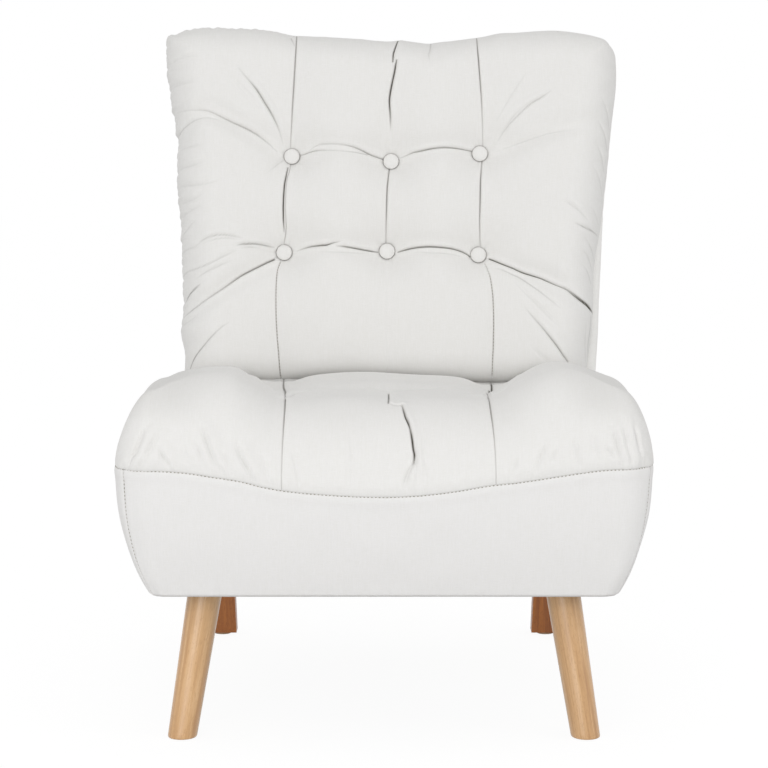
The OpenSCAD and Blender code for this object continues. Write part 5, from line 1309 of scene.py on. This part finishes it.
def stitches(name, path, away, thick=0.5):
    """Row of topstitches along a path, with the way out of the cloth at each of its points: short bars of
    twisted thread, thinner and sunk at both ends."""
    pitch, length, rings, spokes = 4.6, 2.3, 5, 6
    run = np.concatenate([[0], np.cumsum(np.linalg.norm(np.diff(path, axis=0), axis=-1))])
    count = int(run[-1] / pitch)
    mid = (np.arange(count) + 0.5) * pitch

    def at(q, v):
        """Row of points v at the lengths q along the path."""
        return np.stack([np.interp(q, run, v[:, a]) for a in range(3)], -1)

    centre, ahead, out = at(mid, path), at(mid + 0.5, path) - at(mid - 0.5, path), at(mid, away)
    ahead /= np.linalg.norm(ahead, axis=-1, keepdims=True)
    out -= ahead * np.sum(out * ahead, -1, keepdims=True)
    out /= np.maximum(np.linalg.norm(out, axis=-1, keepdims=True), 1e-9)
    centre, ahead, out, side = (v[:, None, None, :] for v in (centre, ahead, out, np.cross(ahead, out)))
    k = np.linspace(-1, 1, rings)[None, :, None, None]
    a = (2 * np.pi * np.arange(spokes) / spokes)[None, None, :, None]
    fat = thick * np.sqrt(np.maximum(1 - 0.85 * k**2, 0))
    pts = centre + ahead * k * length / 2 + side * np.cos(a) * fat + out * (np.sin(a) * fat - 0.3 * k**2)
    tube = quads(rings, spokes, 0, wrap=True)
    caps = np.array([list(range(spokes))[::-1], [(rings - 1) * spokes + j for j in range(spokes)]])
    first = (np.arange(count) * rings * spokes)[:, None, None]
    faces = [(tube[None] + first).reshape(-1, 4), (caps[None] + first).reshape(-1, spokes)]
    return make_piece(name, pts.reshape(-1, 3), faces, THREAD_WITH_HOLE_SHADE)


def wall_stitches(name, t, z, sunk):
    """Topstitches along a line of the base's wall, a little inside its face."""
    path = np.stack([*wall_point(t, z, sunk), z], -1)
    far = np.stack([*wall_point(t, z, sunk - 1), z], -1)
    return stitches(name, path, far - path)


def back_stitches(name, points):
    """Topstitches along a seam of the back's face, given by points (place across, place along the rake)."""
    v = np.array(points, float)
    w = np.linspace(v[0, 1], v[-1, 1], 60)
    x = np.interp(w, *(v[:, ::-1].T if v[0, 1] < v[-1, 1] else v[::-1, ::-1].T))
    inside = np.minimum(np.minimum(x - LEFT_EDGE(w), RIGHT_EDGE(w) - x), TOP_EDGE(x) - w)
    n = back_level(x, w, inside) - 0.5
    path = back_to_chair(x, w, n)
    return stitches(name, path, back_to_chair(x, w, n + 1) - path, thick=0.34)


# Front legs
# heights of the rings and how much smaller each is than the cone, which rounds the foot
LEG_RINGS = np.array([(0.8, 2.6), (1.05, 1.4), (1.7, 0.55), (2.6, 0.15), (4, 0), (10, 0), (40, 0), (80, 0),
                      (120, 0), (160, 0), (185, 0), (189, 0)])
FOOT_R, LEG_TAPER = 18, 3.5


def front_leg_piece(way, side, material):
    """Turned front leg: circles round a splayed axis, slid along it to level heights, that taper from the
    top to the foot, with a rounded bottom edge and flat ends."""
    top, foot = np.array([side * 221.0, 92.0, 189.0]), np.array([side * 250.0, 60.0, 3.0])
    axis = (top - foot) / np.linalg.norm(top - foot)
    across = np.cross(axis, [0.0, 1.0, 0.0])
    across /= np.linalg.norm(across)
    other = np.cross(axis, across)
    z, cut = (v[:, None, None] for v in LEG_RINGS.T)
    share = (z - foot[2]) / (top[2] - foot[2])
    radius = FOOT_R + LEG_TAPER * share - cut
    a = np.linspace(0, 2 * np.pi, 72, endpoint=False)[None, :, None]
    ring = foot + (top - foot) * share + radius * (np.cos(a) * across + np.sin(a) * other)
    ring = ring + axis * (z - ring[..., 2:]) / axis[2]
    rows, n = ring.shape[:2]
    caps = np.array([np.arange(n)[::-1], (rows - 1) * n + np.arange(n)])
    tube = quads(rows, n, 0, wrap=True)
    # the faces turn outwards
    first = ring.reshape(-1, 3)[tube[0]]
    outward = first.mean(0) - ring.reshape(-1, 3).mean(0)
    if np.dot(np.cross(first[1] - first[0], first[2] - first[1]), outward) < 0:
        tube, caps = tube[:, ::-1], caps[:, ::-1]
    node = "front_leg_" + way
    return make_piece(node + "_turned", ring, [tube, caps], material, replaces=(node,))


SIDES = {"left": -1, "right": 1}
seat_piece()
back_piece()
for way, side in SIDES.items():
    front_leg_piece(way, side, OF_NODE["front_leg_" + way])
button_piece()
# the right border takes the lighter linen, which is painted light
for part, (way, node, finish) in enumerate([("left", "back_side_cover_left", COVER),
                                            ("top", "back_top_cover", COVER),
                                            ("right", "back_side_cover_right", COVER_PAINTED_LIGHT)]):
    border_piece("back_border_" + way, node, part, finish)
rear_piece()
layer_piece("back_lining_board", "back_lining", HARDBOARD, 3.3, 6.3, 5.2, 3.4, sunk=9.0)
layer_piece("back_foam_slab", "back_foam", FOAM, PAD_N, SHELL_T - 0.3, CUSHION_LOW + 0.3, 20)
for way, node, low, left_at, right_at in [("left", "back_side_foam_left", CUSHION_LOW, None, -261.2),
                                          ("right", "back_side_foam_right", CUSHION_LOW, 261.2, None),
                                          ("top", "back_top_foam", POST_TOP_W, -260.9, 260.9)]:
    layer_piece("back_edge_foam_" + way, node, FOAM, POST_N, PAD_N - 0.3, low, 6.5, left_at, right_at)
wall_piece("base_panel_left", "base_cover_left", 0.0, T_LEFT, 260, (False, True))
wall_piece("base_panel_front", "base_cover_front", T_LEFT, T_RIGHT, 340, (True, True))
wall_piece("base_panel_right", "base_cover_right", T_RIGHT, 5.0, 260, (True, False))
for way, side in SIDES.items():
    deck_corner(way, side)
t = np.linspace(0.02, 4.98, 3000)
z = seam_at(wall_point(t, SEAM_Z + 0 * t)[0])
wall_stitches("seat_seam_stitches", t, z - 2.2, 0.4)
z = np.linspace(LEG_H + 3, SEAM_Z - 3, 200)
for way, t in (("left", T_LEFT), ("right", T_RIGHT)):
    wall_stitches("corner_seam_stitches_" + way, t + 0 * z, z, 0.7)
for way, points in LOW_SEAMS.items():
    back_stitches("back_low_seam_stitches_" + way, points)


# Camera, light and floor
# the camera that took the photograph: metres, degrees down from level, and millimetres of the lens
CAMERA_AT, CAMERA_DOWN, LENS, SENSOR = (0.0, -3.215058, 0.7921), 6.898, 112.16, 36.0
for name in ("Cube", "Light", "Camera"):
    if name in bpy.data.objects:
        bpy.data.objects.remove(bpy.data.objects[name])
lens = bpy.data.cameras.new("photo_camera")
lens.sensor_width, lens.lens, lens.clip_end = SENSOR, LENS, 50
camera = bpy.data.objects.new("photo_camera", lens)
camera.location = CAMERA_AT
camera.rotation_euler = (np.radians(90 - CAMERA_DOWN), 0, 0)
bpy.context.scene.collection.objects.link(camera)
bpy.context.scene.camera = camera


def lamp(name, place, aim, size, watts):
    """Square soft lamp that faces a point."""
    data = bpy.data.lights.new(name, "AREA")
    data.energy, data.size = watts, size
    thing = bpy.data.objects.new(name, data)
    thing.location = place
    way = np.array(aim) - np.array(place)
    flat = np.hypot(way[0], way[1])
    thing.rotation_euler = (np.arctan2(flat, -way[2]), 0, np.arctan2(-way[0], way[1]))
    bpy.context.scene.collection.objects.link(thing)


def seen_rays(tree):
    """1 for a ray from the camera, whether straight, by a gloss or through glass, and 0 for other rays."""
    rays = add(tree, "ShaderNodeLightPath").outputs
    seen = rays["Is Camera Ray"]
    for other in ("Is Glossy Ray", "Is Transmission Ray"):
        seen = add(tree, "ShaderNodeMath", {"operation": "MAXIMUM"}, {0: seen, 1: rays[other]}).outputs[0]
    return seen


lamp("soft_box_front", (-1.3, -4.2, 1.25), (0, 0, 0.45), 2.6, 60)
lamp("soft_box_right", (3.0, -1.6, 1.6), (0, 0, 0.45), 1.8, 14)

# the room is white where it is seen, and a little dimmer as a light
world = bpy.data.worlds.new("studio")
bpy.context.scene.world = world
world.use_nodes = True
tree = world.node_tree
tree.nodes.clear()
dim = add(tree, "ShaderNodeBackground", {"Color": (1, 1, 1, 1), "Strength": 0.69}).outputs[0]
white = add(tree, "ShaderNodeBackground", {"Color": (1, 1, 1, 1), "Strength": 1.0}).outputs[0]
mixed = add(tree, "ShaderNodeMixShader", links={0: seen_rays(tree), 1: dim, 2: white}).outputs[0]
add(tree, "ShaderNodeOutputWorld", links={"Surface": mixed})

# the floor is white paper, most of whose seen shade is a glow, so that only a faint shadow is left
ground, tree = finish_of("floor_white_paper")
shader = tree.nodes["Principled BSDF"]
shader.inputs["Base Color"].default_value = (0.78, 0.78, 0.78, 1)
shader.inputs["Roughness"].default_value = 0.9
shader.inputs["Specular IOR Level"].default_value = 0.1
share = add(tree, "ShaderNodeMath", {"operation": "MULTIPLY", 1: 0.88}, {0: seen_rays(tree)}).outputs[0]
glow = add(tree, "ShaderNodeEmission", {"Color": (1, 1, 1, 1), "Strength": 1.06}).outputs[0]
floor_mix = add(tree, "ShaderNodeMixShader", links={0: share, 1: shader.outputs[0], 2: glow}).outputs[0]
tree.links.new(floor_mix, tree.nodes["Material Output"].inputs["Surface"])
mesh = bpy.data.meshes.new("floor")
mesh.from_pydata([(-12, -12, 0), (12, -12, 0), (12, 12, 0), (-12, 12, 0)], [], [(0, 1, 2, 3)])
mesh.materials.append(ground)
floor = bpy.data.objects.new("floor", mesh)
bpy.context.scene.collection.objects.link(floor)

bpy.context.scene.view_settings.view_transform = "Standard"
